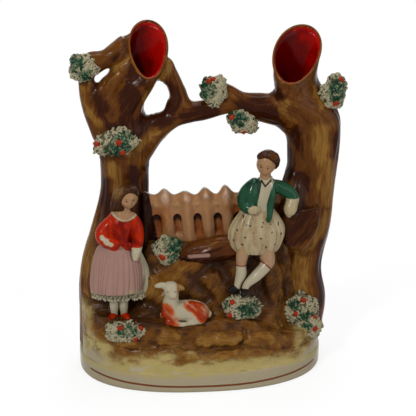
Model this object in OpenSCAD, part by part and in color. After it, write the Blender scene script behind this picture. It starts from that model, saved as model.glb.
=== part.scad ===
// Double spill vase: a pottery group of two hollow trees, a fence, a girl, a boy and a lamb
// on an oval plinth. The front faces -Y, X runs to the right, and Z is up from the foot.
// Every piece is pressed clay, and each is cut to sit on what carries it before it is luted on.

/* [Plinth] */
// Width of the oval plinth
plinth_w = 153; // [148:1:162]
// Depth of the plinth from front to back
plinth_d = 70; // [66:1:76]
// Depth of the plinth behind its widest line
plinth_back = 18; // [15:1:22]
// Height of the white band of the plinth
plinth_h = 13; // [11:0.5:16]
// Thickness of the plinth wall
plinth_wall = 5; // [4:0.5:7]
// Thickness of the deck that the trees stand on
deck_t = 4; // [3:0.5:5]
// Thickness of the slab that closes the plinth from below
slab_t = 4; // [3:0.5:5]
// Height of the foot ring below the slab
foot_h = 1.5; // [0.5:0.5:2.5]
// Diameter of the firing vents
vent_d = 7; // [5:0.5:9]

/* [Trees] */
// Thickness of the clay wall of the trees
tree_wall = 2.4; // [2:0.2:3.4]
// Thickness of the wall at the rims of the mouths
rim_wall = 1.4; // [1.2:0.1:2]
// Distance of the trees' seam behind the middle of the plinth
tree_y = 14; // [12:0.5:16]
// Depth of a trunk at its waist, front to back
tree_d = 27; // [24:0.5:29]
// Rise of the slanted mouths for each millimetre of depth
mouth_slope = 1.19; // [1.05:0.01:1.25]
// Middle of the left tree's foot
left_tree_x = -55.5; // [-58:0.5:-53]
// Height of the middle of the left mouth
left_tree_h = 198; // [192:0.5:206]
// How far the left mouth stands to the right of its foot
left_sway = 25.7; // [23:0.1:28]
// Width of the left tree at its foot
left_foot_w = 42; // [39:0.5:44]
// Width of the left trunk at its waist
left_waist_w = 29.6; // [27:0.2:32]
// Width of the left trunk where its boughs fork
left_fork_w = 30; // [27:0.5:33]
// Outer width of the left mouth
left_mouth_w = 22.8; // [20:0.2:26]
// Middle of the right tree's foot
right_tree_x = 64; // [62:0.5:66]
// Height of the middle of the right mouth
right_tree_h = 194; // [188:0.5:202]
// How far the right mouth stands to the left of its foot
right_sway = 6; // [4:0.5:9]
// Width of the right tree at its foot
right_foot_w = 25; // [23:0.5:28]
// Width of the right trunk at its waist
right_waist_w = 30; // [28:0.5:33]
// Width of the right trunk where its bough forks
right_fork_w = 34; // [31:0.5:37]
// Outer width of the right mouth
right_mouth_w = 28; // [25:0.5:31]

/* [Boughs] */
// Radius of the boughs on the left tree
left_bough_r = 6; // [5.2:0.1:6.8]
// How far the left boughs reach out beside the trunk
left_bough_reach = 22; // [20:0.5:25]
// Radius of the bough that crosses between the trees
cross_bough_r = 6.2; // [5.4:0.1:7]
// Radius of the strut under the left mouth
strut_r = 4.8; // [4.2:0.1:5.4]
// Radius of the right bough where it leaves its tree
right_bough_r = 11; // [9.5:0.5:12.5]
// Radius of the sawn end of the right bough
right_stub_r = 4.8; // [4:0.1:5.6]
// Radius of the sawn stump that the boy leans on
stump_r = 12.5; // [11:0.5:13.5]
// Length of the stump in front of its trunk
stump_l = 7; // [5:0.5:9]

/* [Ground] */
// Height of the ledge where the girl and the lamb are
ledge_h = 41; // [38:0.5:44]
// Height of the lower ledge under the right tree
right_ledge_h = 27; // [24:0.5:31]
// Height of the bank between the trees
bank_h = 82; // [78:0.5:86]
// Thickness of the clay of the ground
ground_wall = 4; // [3:0.5:5]
// Radius of the fallen log
log_r = 8; // [7:0.5:9]
// Length of the fallen log
log_l = 34; // [30:1:38]

/* [Fence] */
// Height of the fence above the bank
fence_h = 33; // [29:0.5:37]
// Thickness of the fence
fence_t = 5; // [4:0.5:6.5]
// Distance from one fence post to the next
post_pitch = 13.2; // [12.2:0.2:14]
// Radius of the fence posts
post_r = 3.4; // [2.9:0.1:3.8]
// Width of the gaps between the posts
fence_gap_w = 5.4; // [4.4:0.2:6]

/* [Figures] */
// Height of the girl
girl_h = 83; // [79:0.5:88]
// Height of the boy from his feet to his hair
boy_h = 84; // [80:0.5:88]
// Length of the lamb
lamb_l = 32; // [29:0.5:35]

/* [Flowers] */
// Size of the flower clusters across, with 1 as first drawn
flower_scale = 1; // [0.9:0.05:1.1]
// How far a flower cluster stands out from its seat
flower_t = 7; // [5.5:0.5:8.5]

/* [Hidden] */
// Sides of the rings that the pieces are built from
tree_sides = 22;
bough_sides = 14;
body_sides = 20;
limb_sides = 10;
flower_sides = 15;
// How far a piece is pressed into its seat before the seat cuts it
press = 1;

// Straight and eased mixing
function mix(a, b, t) = a + (b - a) * t;
function ease(a, b, v) =
    let (t = min(max((v - a) / (b - a), 0), 1))
    t * t * (3 - 2 * t);

// A smooth curve through the rows of a list, at a share of the way from row to row
function along(rows, s) =
    let (last = len(rows) - 1)
    let (i = min(floor(s), last - 1))
    let (t = s - i)
    let (before = rows[max(i - 1, 0)], after = rows[min(i + 2, last)])
    let (a = rows[i], b = rows[i + 1])
    0.5 * (2 * a + (b - before) * t + (2 * before - 5 * a + 4 * b - after) * t * t
        + (3 * a - before - 3 * b + after) * t * t * t);
function smoothed(rows, parts) = [for (i = [0 : (len(rows) - 1) * parts]) along(rows, i / parts)];

// A skin over a stack of closed rings, which run anticlockwise seen from the last ring
module skin(rings) {
    n = len(rings[0]);
    top = len(rings) - 1;
    sides = [
        for (j = [0 : top - 1])
            for (i = [0 : n - 1])
                let (k = (i + 1) % n)
                [j * n + i, (j + 1) * n + i, (j + 1) * n + k, j * n + k]
    ];
    foot = [for (i = [0 : n - 1]) i];
    head = [for (i = [n - 1 : -1 : 0]) top * n + i];
    polyhedron([for (ring = rings) each ring], concat(sides, [foot, head]), convexity = 6);
}

// An upright piece: each row is [x, y, z, half width, half depth], with optional pleats
function level_ring(row, n, pleats, pleat_depth) = [
    for (i = [0 : n - 1])
        let (a = 360 * i / n)
        let (f = 1 + pleat_depth * cos(pleats * a))
        [row[0] + row[3] * f * cos(a), row[1] + row[4] * f * sin(a), row[2]]
];
module upright(rows, n = body_sides, parts = 1, pleats = 0, pleat_depth = 0) {
    skin([for (row = smoothed(rows, parts)) level_ring(row, n, pleats, pleat_depth)]);
}

// A limb along a path: each row is [x, y, z, radius]
function unit(v) = v / norm(v);
function heading(rows, i) =
    let (a = rows[max(i - 1, 0)], b = rows[min(i + 1, len(rows) - 1)])
    unit([b[0] - a[0], b[1] - a[1], b[2] - a[2]]);
function limb_ring(row, t, n) =
    let (ref = abs(t[1]) < 0.8 ? [0, 1, 0] : [1, 0, 0])
    let (u = unit(cross(ref, t)))
    let (v = cross(t, u))
    [for (i = [0 : n - 1])
        let (a = 360 * i / n)
        [row[0], row[1], row[2]] + row[3] * (cos(a) * u + sin(a) * v)];
module limb(rows, n = limb_sides, parts = 2) {
    path = smoothed(rows, parts);
    skin([for (i = [0 : len(path) - 1]) limb_ring(path[i], heading(path, i), n)]);
}

// Cuts the first piece by the others, so that it seats on them. The resize to nothing keeps
// every size, and joins the facets of the result into one closed mesh.
module luted() {
    resize([0, 0, 0])
        difference() {
            children(0);
            children([1 : $children - 1]);
        }
}

// Plinth: a plan of two half ovals, the front one deeper and rounder than the back one
plinth_y = plinth_d / 2 - plinth_back;
plinth_front = plinth_d - plinth_back;
front_power = 2.4;
back_power = 4;
plan_sides = 64;
function power(v, p) = sign(v) * pow(abs(v), p);
function plan_point(a, inset) =
    let (p = sin(a) < 0 ? front_power : back_power)
    let (reach = (sin(a) < 0 ? plinth_front : plinth_back) - inset)
    [(plinth_w / 2 - inset) * power(cos(a), 2 / p), plinth_y + reach * power(sin(a), 2 / p)];
module plan(inset) {
    polygon([for (i = [0 : plan_sides - 1]) plan_point(360 * (i + 0.5) / plan_sides, inset)]);
}
function front_edge(x, inset) =
    let (share = min(abs(x) / (plinth_w / 2 - inset), 1))
    plinth_y - (plinth_front - inset) * pow(1 - pow(share, front_power), 1 / front_power);

vent_x = vent_d * 1.2;
module plinth() {
    color([0.86, 0.85, 0.81])
        difference() {
            linear_extrude(plinth_h)
                plan(0);
            translate([0, 0, -press])
                linear_extrude(plinth_h - deck_t + press)
                    plan(plinth_wall);
            translate([vent_x, 0, 0])
                cylinder(h = plinth_h + press, d = vent_d, $fn = 48);
        }
}
module bottom_slab() {
    color([0.84, 0.82, 0.78])
        difference() {
            translate([0, 0, foot_h])
                linear_extrude(slab_t)
                    plan(plinth_wall);
            translate([-vent_x, 0, 0])
                cylinder(h = plinth_h, d = vent_d, $fn = 48);
        }
}

// Trees: each row is [z, x, half width, half depth, slope of the ring, sideways lean of the ring],
// worked out from [share of the height, share of the sway, width, share of the depth,
// share of the mouth's slope, lean]
right_mouth_lean = 0.45;
function tree_row(foot_x, height, sway, at) = [
    mix(plinth_h, height, at[0]),
    foot_x + sway * at[1],
    at[2] / 2,
    tree_d / 2 * at[3],
    mouth_slope * at[4],
    at[5]
];
left_shares = [
    [0, 0, left_foot_w, 1.15, 0, 0],
    [0.17, 0.06, left_foot_w * 1.02, 1.18, 0, 0],
    [0.29, 0.12, left_foot_w, 1.15, 0, 0],
    [0.41, 0.24, mix(left_foot_w, left_waist_w, 0.5), 1.07, 0, 0],
    [0.56, 0.4, left_waist_w, 1, 0, 0],
    [0.715, 0.38, left_fork_w, 1, 0.03, 0],
    [0.82, 0.36, left_fork_w * 0.9, 0.98, 0.2, 0],
    [0.92, 0.66, left_fork_w * 0.95, 0.99, 0.6, 0],
    [1, 1, left_mouth_w, 0.97, 1, 0]
];
right_shares = [
    [0, 0, right_foot_w, 1.1, 0, 0],
    [0.15, 0.3, right_foot_w * 1.13, 1.1, 0, 0],
    [0.28, 0, right_foot_w, 1.04, 0, 0],
    [0.42, 0.5, mix(right_foot_w, right_waist_w, 0.9), 1.02, 0, 0],
    [0.59, 0.8, right_waist_w, 1, 0, 0],
    [0.735, 0.95, right_fork_w * 0.97, 1, 0.03, 0],
    [0.81, 0.55, right_fork_w * 1.01, 1, 0.2, 0.04],
    [0.86, -0.3, mix(right_fork_w, right_mouth_w, 0.6), 1, 0.38, 0.12],
    [0.915, -1.05, right_mouth_w * 0.93, 1, 0.64, 0.25],
    [1, -1, right_mouth_w, 0.97, 1, right_mouth_lean]
];
left_tree = [for (at = left_shares) tree_row(left_tree_x, left_tree_h, left_sway, at)];
right_tree = [for (at = right_shares) tree_row(right_tree_x, right_tree_h, right_sway, at)];

// A point of a ring, on the bark for a depth of 0 and on the lining for a depth of 1
function wall_point(row, a, depth) =
    let (wall = depth * mix(tree_wall, rim_wall, row[4] / mouth_slope))
    let (half_w = row[2] - wall, half_d = row[3] - wall)
    [
        row[1] + half_w * cos(a) + row[5] * half_d * sin(a),
        tree_y + half_d * sin(a),
        row[0] + row[4] * half_d * sin(a)
    ];
function tree_at(tree, share) = along(tree, share * (len(tree) - 1));
// The share at which a tree reaches a height, found by halving the stretch that holds it
function tree_share(tree, z, low = 0, high = 1, turns = 14) =
    let (middle = (low + high) / 2)
    turns == 0 ? middle
    : tree_at(tree, middle)[0] < z ? tree_share(tree, z, middle, high, turns - 1)
    : tree_share(tree, z, low, middle, turns - 1);
function tree_row_at(tree, z) = tree_at(tree, tree_share(tree, z));
function axis_point(tree, z) = [tree_row_at(tree, z)[1], tree_y, z];
function bark_point(tree, z, a) = wall_point(tree_row_at(tree, z), a, 0);

tree_parts = 2;
module tree_solid(tree) {
    skin([
        for (row = smoothed(tree, tree_parts))
            [for (i = [0 : tree_sides - 1]) wall_point(row, 360 * i / tree_sides, 0)]
    ]);
}

// Half of a hollow tree: a bent strip of wall from one seam to the other, start giving its first angle
module tree_half(tree, start) {
    n = tree_sides / 2;
    rings = [
        for (row = smoothed(tree, tree_parts))
            concat(
                [for (i = [0 : n]) wall_point(row, start + 180 * i / n, 0)],
                [for (i = [n : -1 : 0]) wall_point(row, start + 180 * i / n, 1)]
            )
    ];
    m = 2 * n + 2;
    top = len(rings) - 1;
    sides = [
        for (j = [0 : top - 1])
            for (i = [0 : m - 1])
                let (k = (i + 1) % m)
                [j * m + i, (j + 1) * m + i, (j + 1) * m + k, j * m + k]
    ];
    foot = [for (i = [0 : n - 1]) [i, i + 1, m - 2 - i, m - 1 - i]];
    rim = [for (f = foot) [for (i = [3 : -1 : 0]) top * m + f[i]]];
    polyhedron([for (ring = rings) each ring], concat(sides, foot, rim), convexity = 8);
}
module left_trunk_front() {
    color([0.45, 0.3, 0.12])
        tree_half(left_tree, 180);
}
module left_trunk_back() {
    color([0.8, 0.78, 0.72])
        tree_half(left_tree, 0);
}
module right_trunk_front() {
    color([0.5, 0.35, 0.14])
        tree_half(right_tree, 180);
}
module right_trunk_back() {
    color([0.8, 0.78, 0.72])
        tree_half(right_tree, 0);
}

// Boughs: paths from one tree towards the other, at the depth of the trees' seam
left_fork = axis_point(left_tree, mix(plinth_h, left_tree_h, 0.69));
left_mouth = axis_point(left_tree, left_tree_h);
right_fork = axis_point(right_tree, mix(plinth_h, right_tree_h, 0.82));
left_tip = [left_fork[0] - left_bough_reach, tree_y, mix(left_fork[2], left_mouth[2], 0.82)];
function bough_row(p, dx, dz, r) = [p[0] + dx, tree_y, p[2] + dz, r];

module left_upper_form() {
    // The root lies in the back half of the mouth's wall, below the slanted rim
    root_x = left_mouth[0] - left_mouth_w * 0.3;
    shoulder_z = left_mouth[2] - left_bough_r * 0.4;
    span = root_x - left_tip[0];
    limb(
        [
            [root_x, tree_y + tree_d * 0.36, left_mouth[2], left_bough_r * 0.85],
            [root_x - span * 0.27, tree_y + tree_d * 0.2, shoulder_z, left_bough_r * 1.15],
            bough_row(left_tip, span * 0.42, left_bough_r * 0.75, left_bough_r * 1.1),
            bough_row(left_tip, span * 0.18, left_bough_r * 0.4, left_bough_r * 0.9),
            bough_row(left_tip, -span * 0.03, 0, left_bough_r * 0.7)
        ],
        bough_sides
    );
}
module left_upper_bough() {
    color([0.42, 0.28, 0.12])
        luted() {
            left_upper_form();
            tree_solid(left_tree);
        }
}
module left_lower_form() {
    rise = left_tip[2] - left_fork[2];
    limb(
        [
            bough_row(left_fork, 0, -rise * 0.1, left_bough_r * 1.5),
            bough_row(left_fork, -left_bough_reach * 0.5, rise * 0.22, left_bough_r * 1.3),
            bough_row(left_fork, -left_bough_reach * 0.85, rise * 0.58, left_bough_r * 0.95),
            bough_row(left_fork, -left_bough_reach * 0.98, rise * 0.94, left_bough_r * 0.75)
        ],
        bough_sides
    );
}
module left_lower_bough() {
    color([0.4, 0.27, 0.12])
        luted() {
            left_lower_form();
            tree_solid(left_tree);
            left_upper_form();
        }
}

// The cross bough runs between the two forks, and its share along the way gives each place
span_x = right_fork[0] - left_fork[0];
cross_rise = right_fork[2] - left_fork[2];
function cross_row(share, dz, r) = [left_fork[0] + span_x * share, tree_y, left_fork[2] + dz, r];
module right_bough_form() {
    limb(
        [
            cross_row(0.95, cross_rise * 0.95, right_bough_r * 1.05),
            cross_row(0.87, cross_rise, right_bough_r),
            cross_row(0.73, cross_rise * 1.08, right_bough_r * 0.76),
            cross_row(0.63, cross_rise * 1.22, right_stub_r * 1.38),
            cross_row(0.55, cross_rise * 1.5, right_stub_r * 1.2),
            cross_row(0.48, cross_rise * 1.68, right_stub_r)
        ],
        bough_sides
    );
}
module right_bough() {
    color([0.42, 0.28, 0.12])
        luted() {
            right_bough_form();
            tree_solid(right_tree);
        }
}
module cross_bough_form() {
    limb(
        [
            cross_row(0.02, -cross_rise * 0.45, cross_bough_r * 1.35),
            cross_row(0.16, cross_rise * 0.4, cross_bough_r * 1.15),
            cross_row(0.27, cross_rise * 0.83, cross_bough_r),
            cross_row(0.36, cross_rise * 0.97, cross_bough_r),
            cross_row(0.45, cross_rise * 1.06, cross_bough_r),
            cross_row(0.56, cross_rise * 1.2, cross_bough_r * 0.9),
            cross_row(0.66, cross_rise * 1.15, cross_bough_r * 0.8)
        ],
        bough_sides
    );
}
module cross_bough() {
    color([0.44, 0.3, 0.13])
        luted() {
            cross_bough_form();
            tree_solid(left_tree);
            right_bough_form();
        }
}
module mouth_strut() {
    drop = left_mouth[2] - left_fork[2] - cross_rise;
    foot = cross_row(0.3, cross_rise * 0.85, strut_r);
    color([0.46, 0.3, 0.12])
        luted() {
            limb(
                [
                    bough_row(left_mouth, left_mouth_w * 0.34, -drop * 0.2, strut_r * 0.8),
                    bough_row(foot, -strut_r * 0.6, drop * 0.56, strut_r),
                    bough_row(foot, 0, drop * 0.26, strut_r * 1.05),
                    foot
                ],
                bough_sides
            );
            tree_solid(left_tree);
            cross_bough_form();
        }
}

// Stump: a sawn bough of the right tree that comes forward, with its round end to the front
stump_z = bank_h + stump_r * 0.7;
stump_root = axis_point(right_tree, stump_z);
stump_front = bark_point(right_tree, stump_z, 270)[1];
module stump_form() {
    lean = stump_r * 0.65;
    half_way = mix(tree_y, stump_front, 0.6);
    limb(
        [
            [stump_root[0], tree_y, stump_z - stump_r * 0.4, stump_r],
            [stump_root[0] - lean * 0.7, half_way, stump_z - stump_r * 0.2, stump_r * 1.05],
            [stump_root[0] - lean, stump_front - stump_l, stump_z, stump_r]
        ],
        bough_sides
    );
}
module elbow_stump() {
    color([0.3, 0.16, 0.07])
        luted() {
            stump_form();
            tree_solid(right_tree);
            ground_form(0, 0);
        }
}

// Ground: a front slope in two steps up to a ledge, a bank between the trees, and a flat back
slope_run = 12;
side_run = 7;
lip = 1.5;
bank_run = 13;
bank_y = -2;
bump_h = 1;
back_y = tree_y + tree_d * 0.3;
bank_left = left_tree_x + left_foot_w * 0.28;
bank_right = right_tree_x;
function ledge_at(x) = mix(ledge_h, right_ledge_h, ease(plinth_w * 0.14, plinth_w * 0.36, x));
function ground(x, y) =
    let (run = mix(slope_run, side_run, ease(plinth_w * 0.15, plinth_w * 0.3, abs(x))))
    let (d = (y - front_edge(x, lip)) / run)
    let (slope = 0.4 * ease(0, 0.4, d) + 0.6 * ease(0.5, 1, d))
    let (turn = ease(bank_right - bank_run * 1.8, bank_right - bank_run * 0.6, x))
    let (brow = mix(bank_y, tree_y - tree_d * 0.2, turn))
    let (bank = ease(brow - bank_run, brow, y)
        * ease(bank_left, bank_left + bank_run, x) * (1 - ease(bank_right - bank_run, bank_right, x)))
    let (bumps = bump_h * sin(13 * x + 40) * sin(17 * y + 5 * x) * slope)
    plinth_h + lip + (ledge_at(x) - plinth_h - lip) * slope + (bank_h - ledge_at(x)) * bank + bumps;

// The inside of the ground, a wall's thickness behind every slope
function ground_inside(x, y, inset) =
    min(ground(x - inset, y), ground(x + inset, y), ground(x, y - inset));

ground_columns = 30;
ground_rows = 12;
ground_turn = 68;
ground_edge = 0.985;
// The ends of the ground stop at the seam of the trees, and its middle has a flat back
function ground_back(x, inset) =
    let (end = max(
        ease(left_tree_x - left_foot_w * 0.3, left_tree_x - left_foot_w * 0.5, x),
        ease(right_tree_x + right_foot_w * 0.2, right_tree_x + right_foot_w * 0.5, x)))
    mix(back_y - inset, tree_y, end);
module ground_form(inset, sink) {
    half_w = (plinth_w / 2 - lip - inset) * ground_edge;
    // The columns stand closer together near both ends
    columns = [for (i = [0 : ground_columns])
        half_w * sin(ground_turn * (2 * i / ground_columns - 1)) / sin(ground_turn)];
    points = [
        for (j = [0 : ground_rows])
            for (x = columns)
                let (y = mix(front_edge(x, lip + inset), ground_back(x, inset), j / ground_rows))
                [x, y, max(ground_inside(x, y, inset) - sink, plinth_h + lip / 2)]
    ];
    n = ground_columns + 1;
    count = len(points);
    top = [
        for (j = [0 : ground_rows - 1])
            for (i = [0 : ground_columns - 1])
                [j * n + i, (j + 1) * n + i, (j + 1) * n + i + 1, j * n + i + 1]
    ];
    border = concat(
        [for (i = [0 : ground_columns]) i],
        [for (j = [1 : ground_rows]) j * n + ground_columns],
        [for (i = [ground_columns - 1 : -1 : 0]) ground_rows * n + i],
        [for (j = [ground_rows - 1 : -1 : 1]) j * n]
    );
    m = len(border);
    base = [for (i = border) [points[i][0], points[i][1], plinth_h - (sink > 0 ? press : 0)]];
    walls = [for (i = [0 : m - 1]) let (k = (i + 1) % m) [count + i, border[i], border[k], count + k]];
    floor_face = [[for (i = [0 : m - 1]) count + i]];
    polyhedron(concat(points, base), concat(top, walls, floor_face), convexity = 8);
}
module ground_mound() {
    color([0.55, 0.42, 0.16])
        luted() {
            ground_form(0, 0);
            ground_form(ground_wall, ground_wall);
            tree_solid(left_tree);
            tree_solid(right_tree);
        }
}

// Fallen log on the front of the bank, midway between the trees
middle_x = (left_tree_x + right_tree_x) / 2;
log_y = bank_y - log_r * 0.3;
log_z = bank_h;
module log_form() {
    limb(
        [
            [middle_x + log_l / 2, log_y, log_z, log_r],
            [middle_x + log_l * 0.2, log_y, log_z, log_r * 1.03],
            [middle_x - log_l * 0.2, log_y, log_z - log_r * 0.1, log_r * 0.97],
            [middle_x - log_l / 2, log_y, log_z - log_r * 0.5, log_r * 0.8]
        ],
        bough_sides
    );
}
module fallen_log() {
    color([0.36, 0.2, 0.09])
        luted() {
            log_form();
            ground_form(0, 0);
        }
}

// Fence: one pressed panel of round-topped posts with recessed gaps, from tree to tree on the bank
post_count = 6;
post_sides = 8;
fence_lean = 5;
fence_y = bank_y + fence_t;
fence_left = left_tree_x + left_foot_w * 0.82 - post_r;
fence_foot_z = bank_h - fence_h * 0.3;
fence_gap_h = fence_h * 0.5;
fence_top = fence_h - post_r;
// Leans each child from the top of a post, so that the posts run to the right on their way down
module post_place(i, panel_h) {
    translate([post_pitch * i, 0, panel_h])
        rotate([0, -fence_lean, 0])
            translate([0, 0, -panel_h])
                children();
}
module fence_form() {
    panel_h = bank_h + fence_top - fence_foot_z;
    gap_top = bank_h + fence_gap_h - fence_foot_z;
    notch_r = post_pitch / 2 - post_r * 0.5;
    translate([fence_left, fence_y, fence_foot_z]) {
        difference() {
            translate([-post_pitch / 2, 0, 0])
                cube([post_pitch * post_count, fence_t, panel_h]);
            for (i = [0 : post_count - 2])
                post_place(i + 0.5, panel_h) {
                    translate([-fence_gap_w / 2, -press, -press])
                        cube([fence_gap_w, fence_t / 2 + press, gap_top + press]);
                    translate([0, -press, panel_h + post_r * 1.2])
                        rotate([-90, 0, 0])
                            cylinder(h = fence_t + 2 * press, r = notch_r, $fn = post_sides);
                }
        }
        for (i = [0 : post_count - 1])
            post_place(i, panel_h)
                translate([0, fence_t * 0.4, 0]) {
                    cylinder(h = panel_h, r = post_r, $fn = post_sides);
                    translate([0, 0, panel_h])
                        sphere(r = post_r, $fn = post_sides);
                }
    }
}
module fence_panel() {
    color([0.75, 0.5, 0.35])
        luted() {
            fence_form();
            tree_solid(left_tree);
            tree_solid(right_tree);
            ground_form(0, 0);
            log_form();
            stump_form();
        }
}

// Girl: drawn 83 high with her feet at the origin, then set on the ledge in front of the left tree
girl_size = girl_h / 83;
girl_to_tree = 4.5;
girl_x = left_tree_x + girl_to_tree;
girl_y = bark_point(left_tree, ledge_h + girl_h / 3, 270)[1] - 9 * girl_size;
girl_z = ground(girl_x, girl_y) - press / 2;
module girl_place() {
    translate([girl_x, girl_y, girl_z])
        scale(girl_size)
            children();
}
skirt_pleats = 12;
module girl_skirt_form() {
    girl_place()
        upright(
            [
                [-0.8, 0, 15, 16, 10.5],
                [-0.6, 0, 22, 16.6, 10.8],
                [-0.3, 0, 31, 15.8, 10.2],
                [0.2, 0, 39, 13.2, 8.8],
                [0.7, 0, 44.5, 9.6, 7.2],
                [0.7, 0, 46.5, 7.2, 6]
            ],
            skirt_pleats * 3, 1, skirt_pleats, 0.02
        );
}
module girl_skirt() {
    color([0.66, 0.5, 0.52])
        luted() {
            girl_skirt_form();
            tree_solid(left_tree);
        }
}
module girl_petticoat_form() {
    girl_place()
        upright(
            [
                [1.5, 3.5, 11.5, 16.5, 8],
                [1.5, 3.5, 17, 17.5, 8.5],
                [1.8, 3.5, 30, 16.5, 8],
                [1.5, 3.5, 43, 12, 6]
            ]
        );
}
module girl_petticoat() {
    color([0.8, 0.78, 0.7])
        luted() {
            girl_petticoat_form();
            girl_skirt_form();
            tree_solid(left_tree);
            ground_form(0, 0);
        }
}
girl_legs_x = [-2.7, 3];
module girl_shoe_form(side) {
    turn = side == 0 ? -1 : 1;
    girl_place()
        translate([girl_legs_x[side], 0, 0])
            limb(
                [
                    [0, 2.6, 1.8, 1],
                    [0, 1.4, 2, 2],
                    [turn * 0.8, -1, 2, 2.3],
                    [turn * 2.2, -3.6, 1.5, 1.9],
                    [turn * 3.2, -5.2, 1.2, 0.8]
                ],
                limb_sides, 1
            );
}
module girl_shoes() {
    color([0.75, 0.24, 0.08])
        for (side = [0, 1])
            luted() {
                girl_shoe_form(side);
                ground_form(0, 0);
            }
}
module girl_leg(side) {
    x = girl_legs_x[side];
    color([0.82, 0.8, 0.74])
        luted() {
            girl_place()
                upright(
                    [
                        [x, 0.6, 1.5, 2.2, 2.2],
                        [x, 0.6, 8, 2.7, 2.7],
                        [x, 0.6, 15, 2.8, 2.9]
                    ],
                    limb_sides, 2
                );
            girl_shoe_form(side);
            ground_form(0, 0);
            girl_skirt_form();
            girl_petticoat_form();
        }
}
module girl_right_leg() {
    girl_leg(0);
}
module girl_left_leg() {
    girl_leg(1);
}
module girl_bodice_form() {
    girl_place()
        upright(
            [
                [0.7, 0, 46.5, 7.2, 6],
                [1.2, -0.3, 52, 8, 6.6],
                [2, -0.6, 58, 8.8, 6.6],
                [2.6, 0, 63.5, 8.8, 5.6],
                [3.8, 0, 66.8, 5.6, 4.4],
                [4.6, -0.2, 68, 3.4, 3.3]
            ]
        );
}
module girl_bodice() {
    color([0.74, 0.22, 0.06])
        luted() {
            girl_bodice_form();
            tree_solid(left_tree);
        }
}
module girl_head_form() {
    girl_place()
        upright(
            [
                [4.6, -0.2, 68, 2.9, 2.9],
                [5.6, -0.4, 70.3, 2.8, 2.9],
                [6.6, -1, 71.8, 3.7, 4],
                [7.4, -1.2, 74.5, 4.7, 5],
                [7.5, -0.8, 77.5, 4.9, 5.2],
                [7.2, -0.4, 80, 3.8, 4.2],
                [7, -0.3, 81.4, 1.4, 1.6]
            ],
            16
        );
}
module girl_head() {
    color([0.85, 0.74, 0.62])
        girl_head_form();
}
module girl_hair() {
    color([0.28, 0.17, 0.07])
        luted() {
            girl_place()
                upright(
                    [
                        [3.6, 3.2, 65.5, 6.8, 2.8],
                        [4.2, 2.6, 69, 8, 3.8],
                        [5.4, 2, 74, 8, 5],
                        [6.4, 1.4, 78.5, 7, 5.6],
                        [6.9, 0.9, 81.6, 4.6, 4.4],
                        [7, 0.8, 83, 1.6, 1.6]
                    ],
                    18
                );
            girl_head_form();
            girl_bodice_form();
            tree_solid(left_tree);
        }
}
module girl_arm(tint, rows) {
    color(tint)
        luted() {
            girl_place()
                limb(rows);
            girl_bodice_form();
            girl_skirt_form();
            girl_petticoat_form();
            tree_solid(left_tree);
        }
}
module girl_right_arm() {
    girl_arm(
        [0.72, 0.22, 0.07],
        [
            [-3, -0.5, 63, 3.4],
            [-6.6, -1.5, 59.5, 4.4],
            [-9.4, -2.5, 54, 4.5],
            [-7.6, -6, 50.6, 4],
            [-3, -8.2, 49.6, 3.4],
            [0.4, -8.6, 49.2, 2.2]
        ]
    );
}
module girl_left_arm() {
    girl_arm(
        [0.76, 0.26, 0.1],
        [
            [8.4, -0.6, 63.4, 3.2],
            [11.8, -1.4, 58, 3.9],
            [13.1, -2.7, 50, 3.7],
            [12.3, -4.9, 44.5, 3.1],
            [11.2, -7.2, 40, 2.8],
            [10.7, -8.2, 37, 1.6]
        ]
    );
}

// Boy: drawn 84 high with his feet at the origin, sitting on the bank with one arm over the stump
boy_size = boy_h / 84;
boy_to_tree = 31;
boy_x = right_tree_x - boy_to_tree;
boy_y = bank_y - 6 * boy_size;
boy_z = bank_h - 24 * boy_size;
module boy_place() {
    translate([boy_x, boy_y, boy_z])
        scale(boy_size)
            children();
}
kilt_pleats = 12;
module boy_kilt_form() {
    boy_place()
        upright(
            [
                [-1, -1, 22.5, 11, 8],
                [-1.2, -1, 25.5, 14, 9.6],
                [-0.8, -1, 31, 16.2, 10.5],
                [-0.2, -0.5, 37, 16.2, 10],
                [0, 0, 43, 13, 8.4],
                [0.2, 0, 48.5, 9, 6.4]
            ],
            kilt_pleats * 3, 1, kilt_pleats, 0.02
        );
}
module boy_kilt() {
    color([0.82, 0.79, 0.66])
        luted() {
            boy_kilt_form();
            ground_form(0, 0);
            fence_form();
            log_form();
            stump_form();
        }
}
module boy_torso_form() {
    boy_place()
        upright(
            [
                [0.2, 0, 48.5, 8, 6],
                [0.6, 0, 54, 8.2, 6.2],
                [2, 0, 60, 8.4, 5.9],
                [3.2, 0.3, 64.8, 7.2, 4.8],
                [4.2, 0.4, 67.2, 4.2, 3.7],
                [4.8, 0.2, 68.3, 3.3, 3.3]
            ]
        );
}
module boy_torso() {
    color([0.84, 0.82, 0.78])
        luted() {
            boy_torso_form();
            fence_form();
        }
}
module boy_head_form() {
    boy_place()
        upright(
            [
                [4.8, 0.2, 68.3, 3.2, 3.2],
                [4.8, -0.4, 70.6, 3.2, 3.4],
                [4.7, -1.4, 72.3, 4.5, 4.8],
                [4.9, -1.5, 75.3, 5.6, 5.9],
                [5.3, -0.9, 78.8, 5.7, 6],
                [5.6, -0.4, 81.2, 4.2, 4.6],
                [5.8, -0.2, 82.6, 1.6, 1.8]
            ],
            16
        );
}
module boy_head() {
    color([0.84, 0.7, 0.58])
        boy_head_form();
}
module boy_hair() {
    color([0.26, 0.13, 0.06])
        luted() {
            boy_place()
                upright(
                    [
                        [8.8, 2.8, 72.2, 2.6, 3],
                        [8, 2.4, 75, 4.9, 4.9],
                        [6.9, 1.6, 79, 6.5, 6],
                        [6.3, 0.9, 82, 4.9, 5],
                        [6.1, 0.6, 83.8, 1.6, 1.6]
                    ],
                    16
                );
            boy_head_form();
        }
}
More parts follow.
